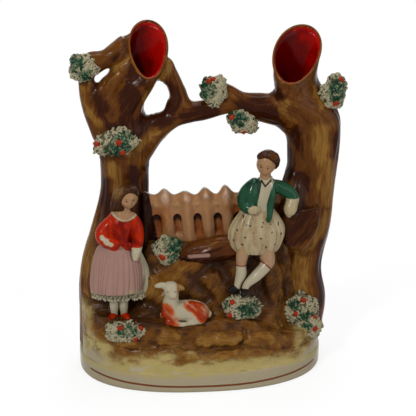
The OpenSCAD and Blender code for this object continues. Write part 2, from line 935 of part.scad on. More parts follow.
module boy_right_arm_form() {
    boy_place()
        limb(
            [
                [-2, 0, 64, 3.6],
                [-6.4, -0.5, 59, 4.6],
                [-8.6, -1.5, 52, 4.5],
                [-7, -5, 48.2, 3.8],
                [-3.4, -7.4, 48.2, 2.9],
                [-1, -8, 48.6, 1.7]
            ]
        );
}
module boy_right_arm() {
    color([0.07, 0.25, 0.16])
        luted() {
            boy_right_arm_form();
            boy_torso_form();
            boy_kilt_form();
            fence_form();
        }
}
module boy_left_arm_form() {
    boy_place()
        limb(
            [
                [6, 0.2, 63.2, 3.4],
                [12, 0.4, 61.6, 4.1],
                [18, 0.6, 58.6, 4],
                [20.8, 0, 55, 3.8],
                [20.2, -1.5, 51, 3.6],
                [19, -2.4, 47.5, 3],
                [18.6, -2.6, 44.5, 1.6]
            ]
        );
}
module boy_left_arm() {
    color([0.08, 0.28, 0.18])
        luted() {
            boy_left_arm_form();
            boy_torso_form();
            stump_form();
            tree_solid(right_tree);
        }
}
// A jacket front is a flat strip that hangs from the shoulder over shirt and kilt
module boy_jacket_front(rows) {
    color([0.07, 0.26, 0.17])
        luted() {
            boy_place()
                upright(rows, limb_sides);
            boy_torso_form();
            boy_kilt_form();
            boy_right_arm_form();
            boy_left_arm_form();
        }
}
module boy_jacket_right() {
    boy_jacket_front(
        [
            [-2.6, -2, 66, 2, 2],
            [-4.4, -3.4, 60, 3.6, 3.4],
            [-5.2, -4, 54, 3.8, 3.6],
            [-5.4, -4.4, 49.5, 3, 3.4],
            [-5.4, -4.6, 47.4, 1.2, 1.6]
        ]
    );
}
module boy_jacket_left() {
    boy_jacket_front(
        [
            [8, -2, 66, 1.8, 2.2],
            [7.4, -4, 59, 2.8, 3.2],
            [6.2, -4.8, 51, 2.8, 3.2],
            [5.6, -6.6, 45.5, 2, 3],
            [5.4, -8, 42, 0.8, 1.4]
        ]
    );
}
module boy_shoe_form(side) {
    right_rows = [
        [-11.8, -9, 1.6, 0.8],
        [-13, -9.6, 1.7, 1.9],
        [-15.4, -10.6, 1.4, 2.1],
        [-17.8, -11.6, 1.1, 1.6],
        [-19, -12, 1, 0.7]
    ];
    left_rows = [
        [-7.8, -10.6, 1.8, 0.8],
        [-8.4, -11.8, 1.4, 1.9],
        [-9.3, -13.6, 0.2, 1.9],
        [-10.2, -15.2, -1, 1.4],
        [-10.6, -16, -1.6, 0.6]
    ];
    boy_place()
        limb(side == 0 ? right_rows : left_rows, limb_sides, 1);
}
module boy_shoes() {
    color([0.06, 0.05, 0.04])
        for (side = [0, 1])
            luted() {
                boy_shoe_form(side);
                ground_form(0, 0);
            }
}
module boy_leg_form(side) {
    right_rows = [
        [-8.5, -5.5, 26, 4.4],
        [-10.1, -7.5, 20.4, 3.6],
        [-10.5, -8, 15.5, 3],
        [-10.6, -8.6, 10.5, 3.2],
        [-12.2, -9.4, 6, 2.4],
        [-13, -9.8, 3.2, 2]
    ];
    left_rows = [
        [4, -4, 26, 5.4],
        [5.6, -7.2, 18, 4.3],
        [3.3, -8.8, 14.2, 3.5],
        [-2, -10.6, 9.5, 3.2],
        [-6.8, -11.4, 5.4, 2.4],
        [-8.4, -11.6, 3, 2]
    ];
    boy_place()
        limb(side == 0 ? right_rows : left_rows);
}
module boy_leg(side) {
    color([0.82, 0.79, 0.71])
        luted() {
            boy_leg_form(side);
            boy_kilt_form();
            boy_shoe_form(side);
            ground_form(0, 0);
        }
}
module boy_right_leg() {
    boy_leg(0);
}
module boy_left_leg() {
    boy_leg(1);
}

// Lamb: drawn 32 long with the middle of its belly at the origin, lying on the ledge
lamb_size = lamb_l / 32;
lamb_x = middle_x - lamb_l / 2;
lamb_y = front_edge(lamb_x, lip) + slope_run;
lamb_z = ground(lamb_x, lamb_y) - press;
module lamb_place() {
    translate([lamb_x, lamb_y, lamb_z])
        scale(lamb_size)
            children();
}
module lamb_body_form() {
    lamb_place()
        limb(
            [
                [-14, -1.5, 6, 1.5],
                [-12.6, -1.5, 6.5, 4.6],
                [-8, -1, 7.4, 6.4],
                [-1, 0, 7.6, 6.8],
                [7, 1, 6.4, 6.6],
                [13, 1.6, 4.8, 4.8],
                [16, 1.8, 3.8, 1.6]
            ],
            14
        );
}
module lamb_body() {
    color([0.85, 0.82, 0.76])
        luted() {
            lamb_body_form();
            ground_form(0, 0);
        }
}
module lamb_head_form() {
    lamb_place()
        upright(
            [
                [-9.6, -2.6, 8, 4.6, 4.2],
                [-9.4, -2.8, 14, 4.3, 4],
                [-8.8, -3.6, 19, 3.9, 4],
                [-8.2, -4.8, 21.6, 4.5, 5],
                [-8.6, -4.2, 25, 5, 4.8],
                [-9, -3.4, 27.6, 4.4, 3.8],
                [-9, -3.2, 28.8, 1.8, 1.6]
            ],
            16
        );
}
module lamb_head() {
    color([0.87, 0.84, 0.78])
        luted() {
            lamb_head_form();
            lamb_body_form();
            ground_form(0, 0);
        }
}
module lamb_ears() {
    ears = [
        [[-11, -3.6, 26.2, 1.6], [-14.5, -3.6, 26.8, 1.9], [-17.6, -3.6, 26.4, 1.5], [-19, -3.6, 26, 0.7]],
        [[-6.6, -3.6, 25.4, 1.5], [-3.6, -3.4, 25, 1.8], [-1, -3.2, 23.8, 1.5], [0, -3.2, 23, 0.7]]
    ];
    color([0.8, 0.7, 0.5])
        for (rows = ears)
            luted() {
                lamb_place()
                    limb(rows);
                lamb_head_form();
            }
}

// Flower clusters: domes of shredded clay with a waved edge, facing forward from their seats
flower_levels = 4;
flower_root = 4;
module cluster(seat, half_w, half_h, tilt) {
    rings = [
        for (j = [0 : flower_levels + 1])
            let (lift = 90 * max(j - 1, 0) / (flower_levels + 0.4))
            let (f = flower_scale * cos(lift), y = j == 0 ? flower_root : -flower_t * sin(lift))
            [for (i = [0 : flower_sides - 1])
                let (a = 360 * i / flower_sides)
                let (wave = f * (1 + 0.09 * cos(5 * a + 40 * j) + 0.04 * cos(8 * a)))
                [half_w * wave * cos(a), y, half_h * wave * sin(a)]]
    ];
    color([0.6, 0.66, 0.6])
        translate(seat)
            rotate([0, tilt, 0])
                skin(rings);
}
function ground_seat(x, y) = [x, y, ground(x, y)];

module flowers_left_tip() {
    luted() {
        cluster([left_tip[0], tree_y - left_bough_r * 0.8, left_tip[2]], 8, 8, 10);
        left_upper_form();
        left_lower_form();
    }
}
module flowers_left_trunk() {
    luted() {
        cluster(bark_point(left_tree, left_fork[2] + left_bough_r * 1.1, 258), 14, 8.5, -8);
        tree_solid(left_tree);
        left_lower_form();
        cross_bough_form();
    }
}
module flowers_stub() {
    seat = cross_row(0.48, cross_rise * 1.62, 0);
    luted() {
        cluster([seat[0], tree_y - right_stub_r * 0.7, seat[2]], 8.5, 10, 0);
        right_bough_form();
        cross_bough_form();
    }
}
module flowers_cross_bough() {
    seat = cross_row(0.635, cross_rise * 0.72, 0);
    luted() {
        cluster([seat[0], tree_y - cross_bough_r * 0.5, seat[2]], 10, 7.5, 25);
        right_bough_form();
        cross_bough_form();
    }
}
module flowers_right_trunk() {
    shoulder = bark_point(right_tree, mix(plinth_h, right_tree_h, 0.83), 345);
    luted() {
        cluster([shoulder[0] - press, shoulder[1], shoulder[2] + right_stub_r * 1.8], 8, 11.5, 15);
        tree_solid(right_tree);
    }
}
module flowers_fence() {
    luted() {
        cluster([fence_left + post_pitch * 0.3, bank_y - press, bank_h - post_r], 9, 10, 0);
        tree_solid(left_tree);
        fence_form();
        ground_form(0, 0);
        log_form();
    }
}
module flowers_boy() {
    seat_x = boy_x - post_pitch * 0.75;
    luted() {
        cluster([seat_x, boy_y - post_pitch * 0.6, ledge_at(seat_x) + flower_t * 0.93], 13, 9, 4);
        ground_form(0, 0);
        for (side = [0, 1]) {
            boy_shoe_form(side);
            boy_leg_form(side);
        }
    }
}
module flowers_right_foot() {
    luted() {
        cluster(bark_point(right_tree, ledge_h - press * 2, 256), 11.5, 9.5, 0);
        tree_solid(right_tree);
        ground_form(0, 0);
    }
}
module flowers_right_edge() {
    seat = ground_seat(right_tree_x + right_foot_w * 0.12, tree_y - tree_d * 0.62);
    luted() {
        cluster([seat[0], seat[1], seat[2] - press * 2], 7, 6, 0);
        tree_solid(right_tree);
        ground_form(0, 0);
    }
}
module flowers_girl() {
    seat_x = girl_x + girl_to_tree;
    seat = ground_seat(seat_x, front_edge(seat_x, lip) + side_run * 0.83);
    luted() {
        cluster([seat[0], seat[1], seat[2] - press * 0.7], 12.5, 6.2, 0);
        ground_form(0, 0);
        girl_shoe_form(0);
        girl_shoe_form(1);
    }
}

plinth();
bottom_slab();
ground_mound();
fallen_log();
fence_panel();
left_trunk_front();
left_trunk_back();
right_trunk_front();
right_trunk_back();
left_upper_bough();
left_lower_bough();
cross_bough();
mouth_strut();
right_bough();
elbow_stump();
girl_skirt();
girl_petticoat();
girl_shoes();
girl_right_leg();
girl_left_leg();
girl_bodice();
girl_head();
girl_hair();
girl_right_arm();
girl_left_arm();
boy_kilt();
boy_torso();
boy_head();
boy_hair();
boy_right_arm();
boy_left_arm();
boy_jacket_right();
boy_jacket_left();
boy_shoes();
boy_right_leg();
boy_left_leg();
lamb_body();
lamb_head();
lamb_ears();
flowers_left_tip();
flowers_left_trunk();
flowers_stub();
flowers_cross_bough();
flowers_right_trunk();
flowers_fence();
flowers_boy();
flowers_right_foot();
flowers_right_edge();
flowers_girl();
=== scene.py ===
import bpy
import numpy as np
from bpy.props import FloatProperty, FloatVectorProperty, IntProperty, PointerProperty
from bpy.types import Operator, Panel, PropertyGroup
from mathutils import Matrix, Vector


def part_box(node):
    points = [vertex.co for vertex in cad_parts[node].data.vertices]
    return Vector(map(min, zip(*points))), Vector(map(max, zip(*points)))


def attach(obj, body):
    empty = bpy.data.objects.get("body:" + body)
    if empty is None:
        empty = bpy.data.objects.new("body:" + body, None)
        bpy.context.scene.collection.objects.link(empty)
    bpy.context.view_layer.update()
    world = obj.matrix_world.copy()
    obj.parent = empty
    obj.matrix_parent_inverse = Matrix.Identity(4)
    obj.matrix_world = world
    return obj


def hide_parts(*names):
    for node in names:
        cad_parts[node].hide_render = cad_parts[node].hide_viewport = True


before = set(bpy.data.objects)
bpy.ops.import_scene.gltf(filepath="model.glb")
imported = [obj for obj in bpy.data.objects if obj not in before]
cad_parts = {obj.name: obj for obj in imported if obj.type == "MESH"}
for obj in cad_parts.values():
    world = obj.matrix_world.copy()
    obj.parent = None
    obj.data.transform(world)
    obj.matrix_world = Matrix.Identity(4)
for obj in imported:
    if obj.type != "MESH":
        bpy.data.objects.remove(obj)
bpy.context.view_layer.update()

bl_info = {
    "name": "Double spill vase",
    "version": (1, 0, 0),
    "blender": (4, 5, 0),
    "location": "View3D > Sidebar > Spill Vase",
    "description": "Glazed pottery group of two hollow trees, a fence, a girl, a boy and a lamb",
    "category": "Object",
}

# Shapes are worked out in millimetres and put into meshes in metres.
MM = 0.001
# The triangles of a shape that has only faces of four corners.
NO_TRIS = np.zeros((0, 3), int)
# Primes that stir the three numbers of a cell, its seed and the result.
STIR = (73856093, 19349663, 83492791, 374761393, 1274126177)
# Rings of the half ball that closes a limb, and the share of its inward steps that a filled skin keeps.
CAP_RINGS, INWARD_SHARE = 6, 0.08
# Depth of the widest line of the plinth, and the powers of the front and back halves of its oval.
WIDEST_Y, FRONT_POWER, BACK_POWER = 17.0, 2.4, 4.0
# How far the ground stays behind the front edge of the plinth.
GROUND_INSET = 0.6
# Heights of the ground: foot and first step, ledge, fall of the ledge to the right, bank.
GROUND_FOOT, GROUND_STEP, LEDGE_TOP, LEDGE_FALL, BANK_TOP = 12.5, 2.0, 41.0, 14.0, 82.0
# Lumps and hollows of the ground: a path of x and z seen from the front, half width, and height.
LUMPS = [
    ([(-4, 76), (-17, 67), (-29, 56)], 9, 3.2), ([(-12, 62), (-26, 50)], 5, 1.6),
    ([(2, 71), (13, 68)], 5, -3), ([(18, 70), (26, 60)], 7, 2.2), ([(6, 60), (14, 50)], 7, 2.4),
    ([(-2, 58), (2, 50)], 4, -1.8), ([(24, 50), (36, 46)], 6, 1.8), ([(42, 70), (46, 52)], 7, 2),
    ([(36, 62), (38, 48)], 4, -2),
    ([(-3, 31.4), (19, 30.6)], 3.4, 2.8), ([(-9, 21.5), (17, 20.8)], 3, 2.2),
    ([(-4, 26), (19, 25.4)], 1.8, -1.2), ([(-25, 33.5), (-21, 33.5)], 6, 3),
    ([(-33, 29), (-30, 25)], 4, -1.4), ([(-61, 31), (-46, 30)], 4.5, 2.2),
    ([(-58, 22), (-40, 20)], 3.4, 1.4), ([(29, 29), (40, 30)], 5, 2.4), ([(44, 26), (56, 23)], 4.5, 2),
    ([(24, 21), (40, 20)], 3, 1.6), ([(-70, 33), (-66, 22)], 5, 1.6), ([(-16, 28), (-12, 20)], 3, 1.8),
    ([(22, 34), (23, 24)], 2.4, -1.4),
]
# Depth of the seam of both trees, behind the middle of the plinth.
TREE_Y = 14.0
# Radius of the rounded lip of the mouths.
LIP = 0.65
# Rows of the trunks: height, middle, half width, half depth, slope of the ring, sideways lean, and swell of
# its back half.
LEFT_TRUNK = np.array([
    [13, -55.5, 21, 15.5, 0, 0, 0], [44.5, -54, 21.4, 15.9, 0, 0, 0], [66.7, -52.4, 21, 15.5, 0, 0, 0],
    [88.9, -49.3, 17.9, 14.4, 0, 0, 0], [116.6, -45.2, 14.8, 13.5, 0, 0, 0],
    [145.3, -45.7, 15, 13.5, 0.036, 0, 0], [164.7, -46.2, 13.5, 13.2, 0.238, 0, 0.03],
    [183.2, -38.5, 14.2, 13.4, 0.714, 0, 0.08], [198.4, -29.6, 11.6, 13.2, 1.19, 0, 0.17],
])
RIGHT_TRUNK = np.array([
    [13, 64, 12.5, 14.8, 0, 0, 0], [40.2, 65.8, 14.1, 14.8, 0, 0, 0], [63.7, 64, 12.5, 14, 0, 0, 0],
    [89, 67, 14.8, 13.8, 0, 0, 0], [119.8, 68.8, 15, 13.5, 0, 0, 0], [146, 69.7, 16.5, 13.5, 0.036, 0, 0],
    [159.6, 67.3, 17.2, 13.5, 0.238, 0.04, 0], [168.7, 62.2, 15.2, 13.5, 0.452, 0.12, 0.02],
    [178.6, 57.7, 13, 13.5, 0.762, 0.25, 0.05], [194.4, 57.8, 14.5, 13.4, 1.19, 0.4, 0.1],
])
# Rows of the boughs: x, z and radius, and how far behind the seam where it isn't 0.
LEFT_UPPER = [
    [-41.6, 200.4, 7.4, 4], [-48.8, 196.4, 6.2, 1], [-54.8, 193.2, 5.6], [-61.8, 190.8, 7], [-66, 188.6, 6.4],
    [-68.4, 187.4, 4.8],
]
LEFT_LOWER = [[-53, 144.5, 9], [-57, 151, 8], [-64.3, 167.9, 5.9], [-67, 184.5, 4.6]]
CROSS_BOUGH = [
    [-37.5, 136, 8.6], [-27.7, 149, 7.3], [-15.3, 157.9, 6.3], [-5.2, 160.7, 6.2], [4.9, 162.7, 6.2],
    [17.2, 165.4, 5.7], [28.4, 164.6, 5],
]
MOUTH_STRUT = [[-22.4, 192, 4.2], [-14.4, 178.8, 4.6], [-11.8, 167.8, 4.9], [-12, 158.2, 5]]
RIGHT_BOUGH = [
    [58.5, 160.6, 11.5], [51.9, 161.4, 11], [36.2, 163.1, 8.5], [25, 166, 6.7], [16.1, 171.8, 5.8],
    [9.6, 175, 4.9],
]
# Clay that fills the corners between trunk and boughs, in rows like those of the boughs.
LEFT_WEBS = [
    [[-62, 167, 6.6], [-56.4, 172.4, 7], [-51, 177.8, 7.2], [-45.5, 182.6, 7]],
    [[-52, 148, 9], [-56.5, 160, 8], [-59.5, 168, 6]],
    [[-38, 146, 9], [-31, 151.5, 7.2], [-24, 155.5, 6]],
    [[-19, 189.4, 4.4], [-13.8, 176.5, 5.2], [-10.8, 166, 5.7]],
    [[-15.6, 163, 5.4], [-13, 166.4, 6]],
    [[-22.6, 186.8, 5], [-19.6, 183.6, 5.4]],
]
RIGHT_WEBS = [
    [[49.5, 158.4, 7], [58, 149.4, 7.2], [62.2, 138, 7]],
    [[66.2, 136, 7, -1], [61.4, 124, 8.6, -2], [58.6, 111, 10, -5], [56, 98, 9.8, -10]],
]
# Outline of the stump seen from the front, x and z, and the depths its rings stand at with their sizes.
STUMP_OUTLINE = [(48.3, 101.3), (56, 103.6), (72.5, 105.6), (70.8, 93), (62, 77.4), (55, 78.5), (49.2, 81.6)]
STUMP_RINGS = [(9, 0.97), (2, 1.0), (-4.6, 1.0), (-6.6, 0.96), (-7.6, 0.86), (-7.9, 0.5), (-8, 0.2)]
# Strokes on the bark seen from the front: a path of x and z, and half its width. Most are brush strokes of
# the glaze; the first two dark ones of the left tree, in its fork, its last one, behind the girl's legs, and
# the first dark one of the right tree, under its bough, are painted shade.
LEFT_DARK = [
    ([(-49, 156), (-45, 167), (-42.2, 175), (-38, 184)], 11), ([(-60, 171), (-54.6, 164.7), (-48, 157)], 9),
    ([(-40, 152), (-29.6, 157), (-20, 160.5)], 9), ([(-8, 158), (-1, 160), (6, 161.5)], 8),
    ([(-15.8, 181), (-15.5, 171), (-15.3, 163)], 4), ([(-42.5, 206), (-43, 199), (-48, 194)], 5),
    ([(-31, 128), (-31, 92), (-33, 60)], 5), ([(-40, 130), (-38, 96), (-36, 60)], 6),
    ([(-56, 120), (-60, 80)], 6), ([(-66, 58), (-56, 49), (-42, 47)], 9),
]
LEFT_LIGHT = [
    ([(-69.8, 177), (-65.5, 168), (-62, 156)], 5), ([(-51.8, 161), (-50.3, 172), (-46, 184)], 4),
    ([(-46, 186), (-45, 197)], 6), ([(-24, 176), (-19, 190)], 4), ([(-63, 96), (-69, 70), (-71, 36)], 13),
    ([(-40, 142), (-28, 150)], 5), ([(-36, 178), (-28, 168)], 4), ([(-52, 130), (-50, 118)], 6),
]
RIGHT_DARK = [
    ([(26, 165), (37.5, 161), (50, 154)], 10), ([(44.3, 176.4), (46.2, 170.5)], 4),
    ([(55, 147), (57.5, 132), (60, 110)], 7), ([(83, 168), (85, 153), (85, 130)], 5),
    ([(52, 72), (52, 50)], 7), ([(76, 80), (76, 40)], 5),
]
RIGHT_LIGHT = [
    ([(71.7, 151), (76, 127), (78, 106)], 8), ([(68.7, 175), (73.7, 167)], 4), ([(48, 166), (54, 156)], 5),
    ([(53, 75), (67.7, 82), (76, 94)], 7), ([(62, 70), (62, 40)], 9), ([(52, 150), (60, 128)], 4),
]
# How dark the painted shade of the lining is in the middle of the left and the right mouth.
LEFT_LINING, RIGHT_LINING = 0.65, 1.0
# Half width of skirt and kilt by which the depth of their folds becomes a share.
CLOTHES_HALF = 14.0
# Corners of the heads as the figures are drawn, from each figure's foot: the lowest one of girl and boy, and
# the right, front and top one of the lamb.
GIRL_HEAD, BOY_HEAD, LAMB_HEAD = (1.7, -6.2, 68), (-0.7, -7.4, 68.3), (-3.6, -9.8, 28.8)
# Size of the lamb as a share of its drawn size.
LAMB_SCALE = 0.95
# Flower clusters: node, seat, half width, half height, tilt, then green washes and blossoms on the disc.
CLUSTERS = [
    ("flowers_left_tip", (-67.6, 9.2, 189.2), 8.4, 8.4, 10, [(-0.5, 0.25, 0.7), (0.2, -0.4, 0.5)], []),
    ("flowers_left_trunk", (-50, 1.2, 146.8), 14, 8.5, -8,
     [(0, -0.3, 0.65), (0.3, 0.3, 0.5)], [(-0.82, 0.15), (0.15, 0.1), (0.2, -0.6)]),
    ("flowers_stub", (8.3, 10.6, 174.3), 8.5, 10, 0, [(-0.6, 0.2, 0.8)], [(-0.1, 0.8), (-0.35, 0.62)]),
    ("flowers_cross_bough", (25.6, 10.9, 155.6), 10, 7.5, 25, [(-0.4, 0.1, 0.7)], [(-0.75, 0), (0.3, -0.7)]),
    ("flowers_right_trunk", (79.6, 10.5, 172.2), 8, 11.5, 15,
     [(0.1, 0.2, 0.75)], [(0.15, 0.75), (0.25, -0.45)]),
    ("flowers_fence", (-20.5, -3, 80.2), 9, 10, 0,
     [(0.35, 0.45, 0.75), (0.3, -0.3, 0.5)], [(-0.5, -0.2), (-0.38, -0.32)]),
    ("flowers_boy", (23.1, -15.9, 47.4), 13, 9, 4,
     [(0.25, 0, 0.6), (-0.75, 0.2, 0.25)], [(-0.5, 0.45), (-0.55, -0.45)]),
    ("flowers_right_foot", (61.6, -0.4, 37.6), 12.5, 11, -12,
     [(0.2, -0.4, 0.5), (-0.2, 0.4, 0.35)], [(-0.3, 0.0), (0.2, 0.6), (0.5, -0.5)]),
    ("flowers_right_edge", (66.8, -2.7, 26.4), 9, 8, 0, [(-0.2, 0.2, 0.5)], [(0.3, 0.1)]),
    ("flowers_girl", (-47.5, -20.3, 36), 13.5, 6.6, 0,
     [(0.1, 0.2, 0.6)], [(-0.2, 0.6), (0.7, 0.4), (0.5, -0.5)]),
]
# How far the dome of a flower cluster stands out, the sides of a strand of clay, and its thickness along it.
CLUSTER_DEPTH = 6.2
STRAND_SIDES = 6
STRAND_TAPER = np.array([0.6, 1, 1.05, 1, 0.6])
# Lamps: name, place and side in metres, and power in watts.
LAMPS = [
    ("key softbox", (-0.5, -0.75, 0.8), 0.14, 7.0), ("fill softbox", (0.75, -0.7, 0.35), 0.6, 2.6),
    ("top softbox", (0.05, 0.1, 1.0), 0.5, 4.5), ("back softbox", (0.2, 0.9, 0.5), 0.6, 3.0),
    ("left glint", (-0.35, -0.8, 0.55), 0.045, 0.8), ("right glint", (0.45, -0.75, 0.7), 0.045, 0.8),
]
# Point that the lamps light, in metres, and the strength of the light from the surroundings.
LAMP_TARGET = (0, 0, 0.1)
WORLD_STRENGTH = 0.18
# Floor: half its side and the distances where it starts to turn white and is white, in metres, and the share
# of white nearer by.
FLOOR_HALF, FLOOR_NEAR, FLOOR_FAR, FLOOR_WHITE = 2.5, 0.09, 0.3, 0.82
# Camera: point that it looks at and distance from it in metres, turn and rise in degrees, sensor and lens.
CAMERA_TARGET, CAMERA_REACH = (0.004, 0, 0.105), 0.62
CAMERA_TURN, CAMERA_RISE = -5, 18
CAMERA_SENSOR, CAMERA_LENS = 36, 89.4


def linear(red, green, blue):
    """The light values of a colour given as screen values from 0 to 255."""
    share = np.array([red, green, blue]) / 255
    return tuple(np.where(share < 0.04, share / 12.92, ((share + 0.055) / 1.055) ** 2.4))


def tint(name, description, red, green, blue):
    """A colour that a user can change, with its default given as screen values."""
    return FloatVectorProperty(
        name=name, description=description, subtype="COLOR", size=3, min=0, max=1,
        default=linear(red, green, blue))


def length(name, description, millimetres):
    """A length that a user can change, with its default given in millimetres."""
    return FloatProperty(
        name=name, description=description, default=millimetres * MM, min=0, unit="LENGTH", precision=4)


class SpillVaseSizes(PropertyGroup):
    """Sizes that a user can change"""
    plinth_width: length("Plinth width", "Width of the oval plinth", 153)
    plinth_front: length("Plinth front", "Depth of the plinth in front of its widest line", 52)
    plinth_back: length("Plinth back", "Depth of the plinth behind its widest line", 18)
    plinth_height: length("Plinth height", "Height of the white band", 13)
    line_height: length("Line height", "Height of the brown line round the plinth", 4.3)
    line_width: length("Line width", "Width of the brown line", 1.3)
    tree_wall: length("Tree wall", "Thickness of the clay wall of the trees", 2.3)
    bark_relief: length("Bark relief", "Height of the ridges in the bark", 0.55)
    tree_grid: length("Tree grid", "Grid on which trunks and boughs are joined", 0.85)
    figure_grid: length("Figure grid", "Grid on which the parts of a figure are joined", 0.4)
    rock_relief: length("Rock relief", "Height of the rough stones of the ground", 1.3)
    pleat_depth: length("Pleat depth", "Depth of the pleats of skirt and kilt", 0.4)
    strand_radius: length("Strand radius", "Radius of the strands of shredded clay", 0.68)
    strand_length: length("Strand length", "Length of the strands of shredded clay", 3.4)
    strand_count: IntProperty(
        name="Strand count", description="Strands of clay in a flower cluster", default=230, min=10, max=600)


class SpillVaseColours(PropertyGroup):
    """Colours of the glazes"""
    bark: tint("Bark", "Brown glaze of the trees", 80, 44, 11)
    # Dark bark is also the painted shade in the left fork, behind the girl's legs and under the right bough.
    bark_dark: tint("Dark bark", "Dark brown brush strokes", 42, 15, 4)
    # Ochre bark is also the painted light on the tops of the ground's lumps and on the top of the log.
    bark_ochre: tint("Ochre bark", "Ochre brush strokes", 118, 84, 34)
    lining: tint("Lining", "Red glaze inside the mouths", 140, 5, 1)
    # Painted shade in the lining, darker towards the left of each mouth.
    lining_shade: tint("Dark lining", "Red glaze where it lies thick", 72, 1, 0)
    rim: tint("Rim", "Ochre brown line of the rims", 102, 59, 20)
    back: tint("Back", "Plain glaze of the flat back", 160, 151, 128)
    log: tint("Log", "Brown glaze of the fallen log", 74, 38, 11)
    # Dark log is the log's dark grain and also the painted shade on its underside.
    log_dark: tint("Dark log", "Dark grain of the log", 32, 10, 4)
    ground: tint("Ground", "Ochre brown of the ground", 93, 57, 18)
    # Dark ground also gives the painted shade in the hollows, under the log, beside the lamb and behind the
    # girl.
    ground_dark: tint("Dark ground", "Brown in the hollows of the ground", 52, 29, 12)
    ground_pale: tint("Pale ground", "Pale yellow wash on the front slope", 148, 133, 84)
    plinth: tint("Plinth", "Grey white of the plinth", 142, 132, 108)
    gilt: tint("Gilt line", "Brown gilt line on the plinth", 96, 54, 32)
    fence: tint("Fence", "Pinkish tan of the fence", 137, 99, 66)
    fence_brown: tint("Brown fence", "Orange brown between the posts", 118, 64, 28)
    # Pale fence is the pink of the upper posts and knobs, and also their painted highlight.
    fence_pale: tint("Pale fence", "Pink white on the tops of the posts", 168, 138, 116)
    # Painted shade at the tops of the recessed gaps, and a painted shadow between the left tree and the
    # fence.
    fence_shade: tint("Dark gaps", "Dark tops of the gaps", 38, 16, 8)
    # Mauve is also the painted highlight on a face of the log.
    mauve: tint("Mauve", "Mauve pink of the skirt", 137, 106, 95)
    # Painted shade in the folds of the skirt and under its hem.
    mauve_shade: tint("Dark mauve", "Mauve in the folds of the skirt", 115, 85, 77)
    white: tint("White", "Grey white of linen, stockings and wool", 148, 139, 116)
    cream: tint("Cream", "Cream of the kilt and the boy's hands", 143, 129, 98)
    red: tint("Orange red", "Orange red of the bodice and the shoes", 146, 29, 1)
    # Deep red is also the painted shade on the bodice beside the girl's left arm.
    red_dark: tint("Deep red", "Deep red where the glaze lies thick", 98, 8, 2)
    flesh: tint("Flesh", "Skin", 136, 104, 74)
    blush: tint("Blush", "Cheeks and lips", 156, 88, 62)
    ink: tint("Ink", "Black brown of eyes, dots and shoes", 18, 12, 9)
    hair: tint("Hair", "Dark brown hair", 54, 28, 10)
    hair_ochre: tint("Ochre hair", "Ochre gleam of the girl's hair and stains of the kilt", 108, 78, 40)
    green: tint("Green", "Dark green of the jacket and the leaves", 21, 60, 38)
    green_deep: tint("Deep green", "Green where the glaze lies thick", 12, 42, 28)
    clay: tint("Flower clay", "Grey white of the shredded clay", 142, 134, 108)
    clay_shade: tint("Clay shade", "Grey green between the strands", 74, 70, 50)
    blossom: tint("Blossom", "Orange red of the blossoms", 130, 35, 11)
    russet: tint("Russet", "Edge of the patches on the lamb", 152, 68, 16)
    russet_deep: tint("Deep russet", "Middle of the patches on the lamb", 124, 34, 3)


# Shapes

def ease(low, high, value):
    """Goes smoothly from 0 at low to 1 at high."""
    t = np.clip((value - low) / (high - low), 0, 1)
    return t * t * (3 - 2 * t)


def bell(value, width):
    """A bell curve that is 1 in the middle."""
    return np.exp(-(value / width) ** 2)


def turns(sides):
    """Angles of the sides of a ring, evenly round a full turn."""
    return np.arange(sides) * (2 * np.pi / sides)


def points_of(x, y, z):
    """Points from grids of x, y and z, or single values, spread over the largest of them."""
    return np.stack(np.broadcast_arrays(x, y, z), -1)


def unit(vectors):
    """The same directions with length 1."""
    return vectors / np.linalg.norm(vectors, axis=-1, keepdims=True)


def through(rows, count):
    """Cubic curve through the rows, each stretch bent by the rows before and after it."""
    rows = np.asarray(rows, float)
    last = len(rows) - 1
    share = np.linspace(0, last, count)
    i = np.minimum(share.astype(int), last - 1)
    t = (share - i)[:, None]
    before, a, b, after = rows[np.maximum(i - 1, 0)], rows[i], rows[i + 1], rows[np.minimum(i + 2, last)]
    return 0.5 * (
        2 * a + (b - before) * t + (2 * before - 5 * a + 4 * b - after) * t ** 2
        + (3 * a - before - 3 * b + after) * t ** 3)


def speckle(cells, seed):
    """A fixed number from -1 to 1 for each cell, stirred from its three whole numbers."""
    c = cells.astype(np.int64)
    by_x, by_y, by_z, by_seed, again = STIR
    n = c[..., 0] * by_x ^ c[..., 1] * by_y ^ c[..., 2] * by_z ^ seed * by_seed
    n = (n ^ (n >> 13)) * again
    return ((n ^ (n >> 16)) & 0xFFFF) / 32767.5 - 1


def rough(points, size, seed, layers=3):
    """Cloudy noise: the numbers at the eight corners of a cell eased into each other, in finer layers."""
    total = np.zeros(points.shape[:-1])
    for layer in range(layers):
        place = points / size * 2 ** layer
        cell = np.floor(place)
        f = place - cell
        f = f * f * (3 - 2 * f)
        for corner in np.ndindex(2, 2, 2):
            weight = np.prod(np.where(corner, f, 1 - f), axis=-1)
            total += weight * speckle(cell + corner, seed + layer) * 0.5 ** layer
    return total


def outward(points, quads, tris):
    """The same faces, turned so that the volume they enclose is positive."""
    corners = np.concatenate([tris, quads[:, :3], quads[:, [0, 2, 3]]])
    a, b, c = points[corners].transpose(1, 0, 2)
    if np.einsum("ij,ij->", a, np.cross(b, c)) < 0:
        quads, tris = quads[:, ::-1], tris[:, ::-1]
    return points, quads, tris


def skin(rings):
    """Faces from each ring to the next, and a fan over each end."""
    return strand_skins(rings[None])


def grid_faces(at):
    """Faces between the neighbours in a grid of point numbers."""
    return np.stack([at[:-1, :-1], at[:-1, 1:], at[1:, 1:], at[1:, :-1]], -1).reshape(-1, 4)


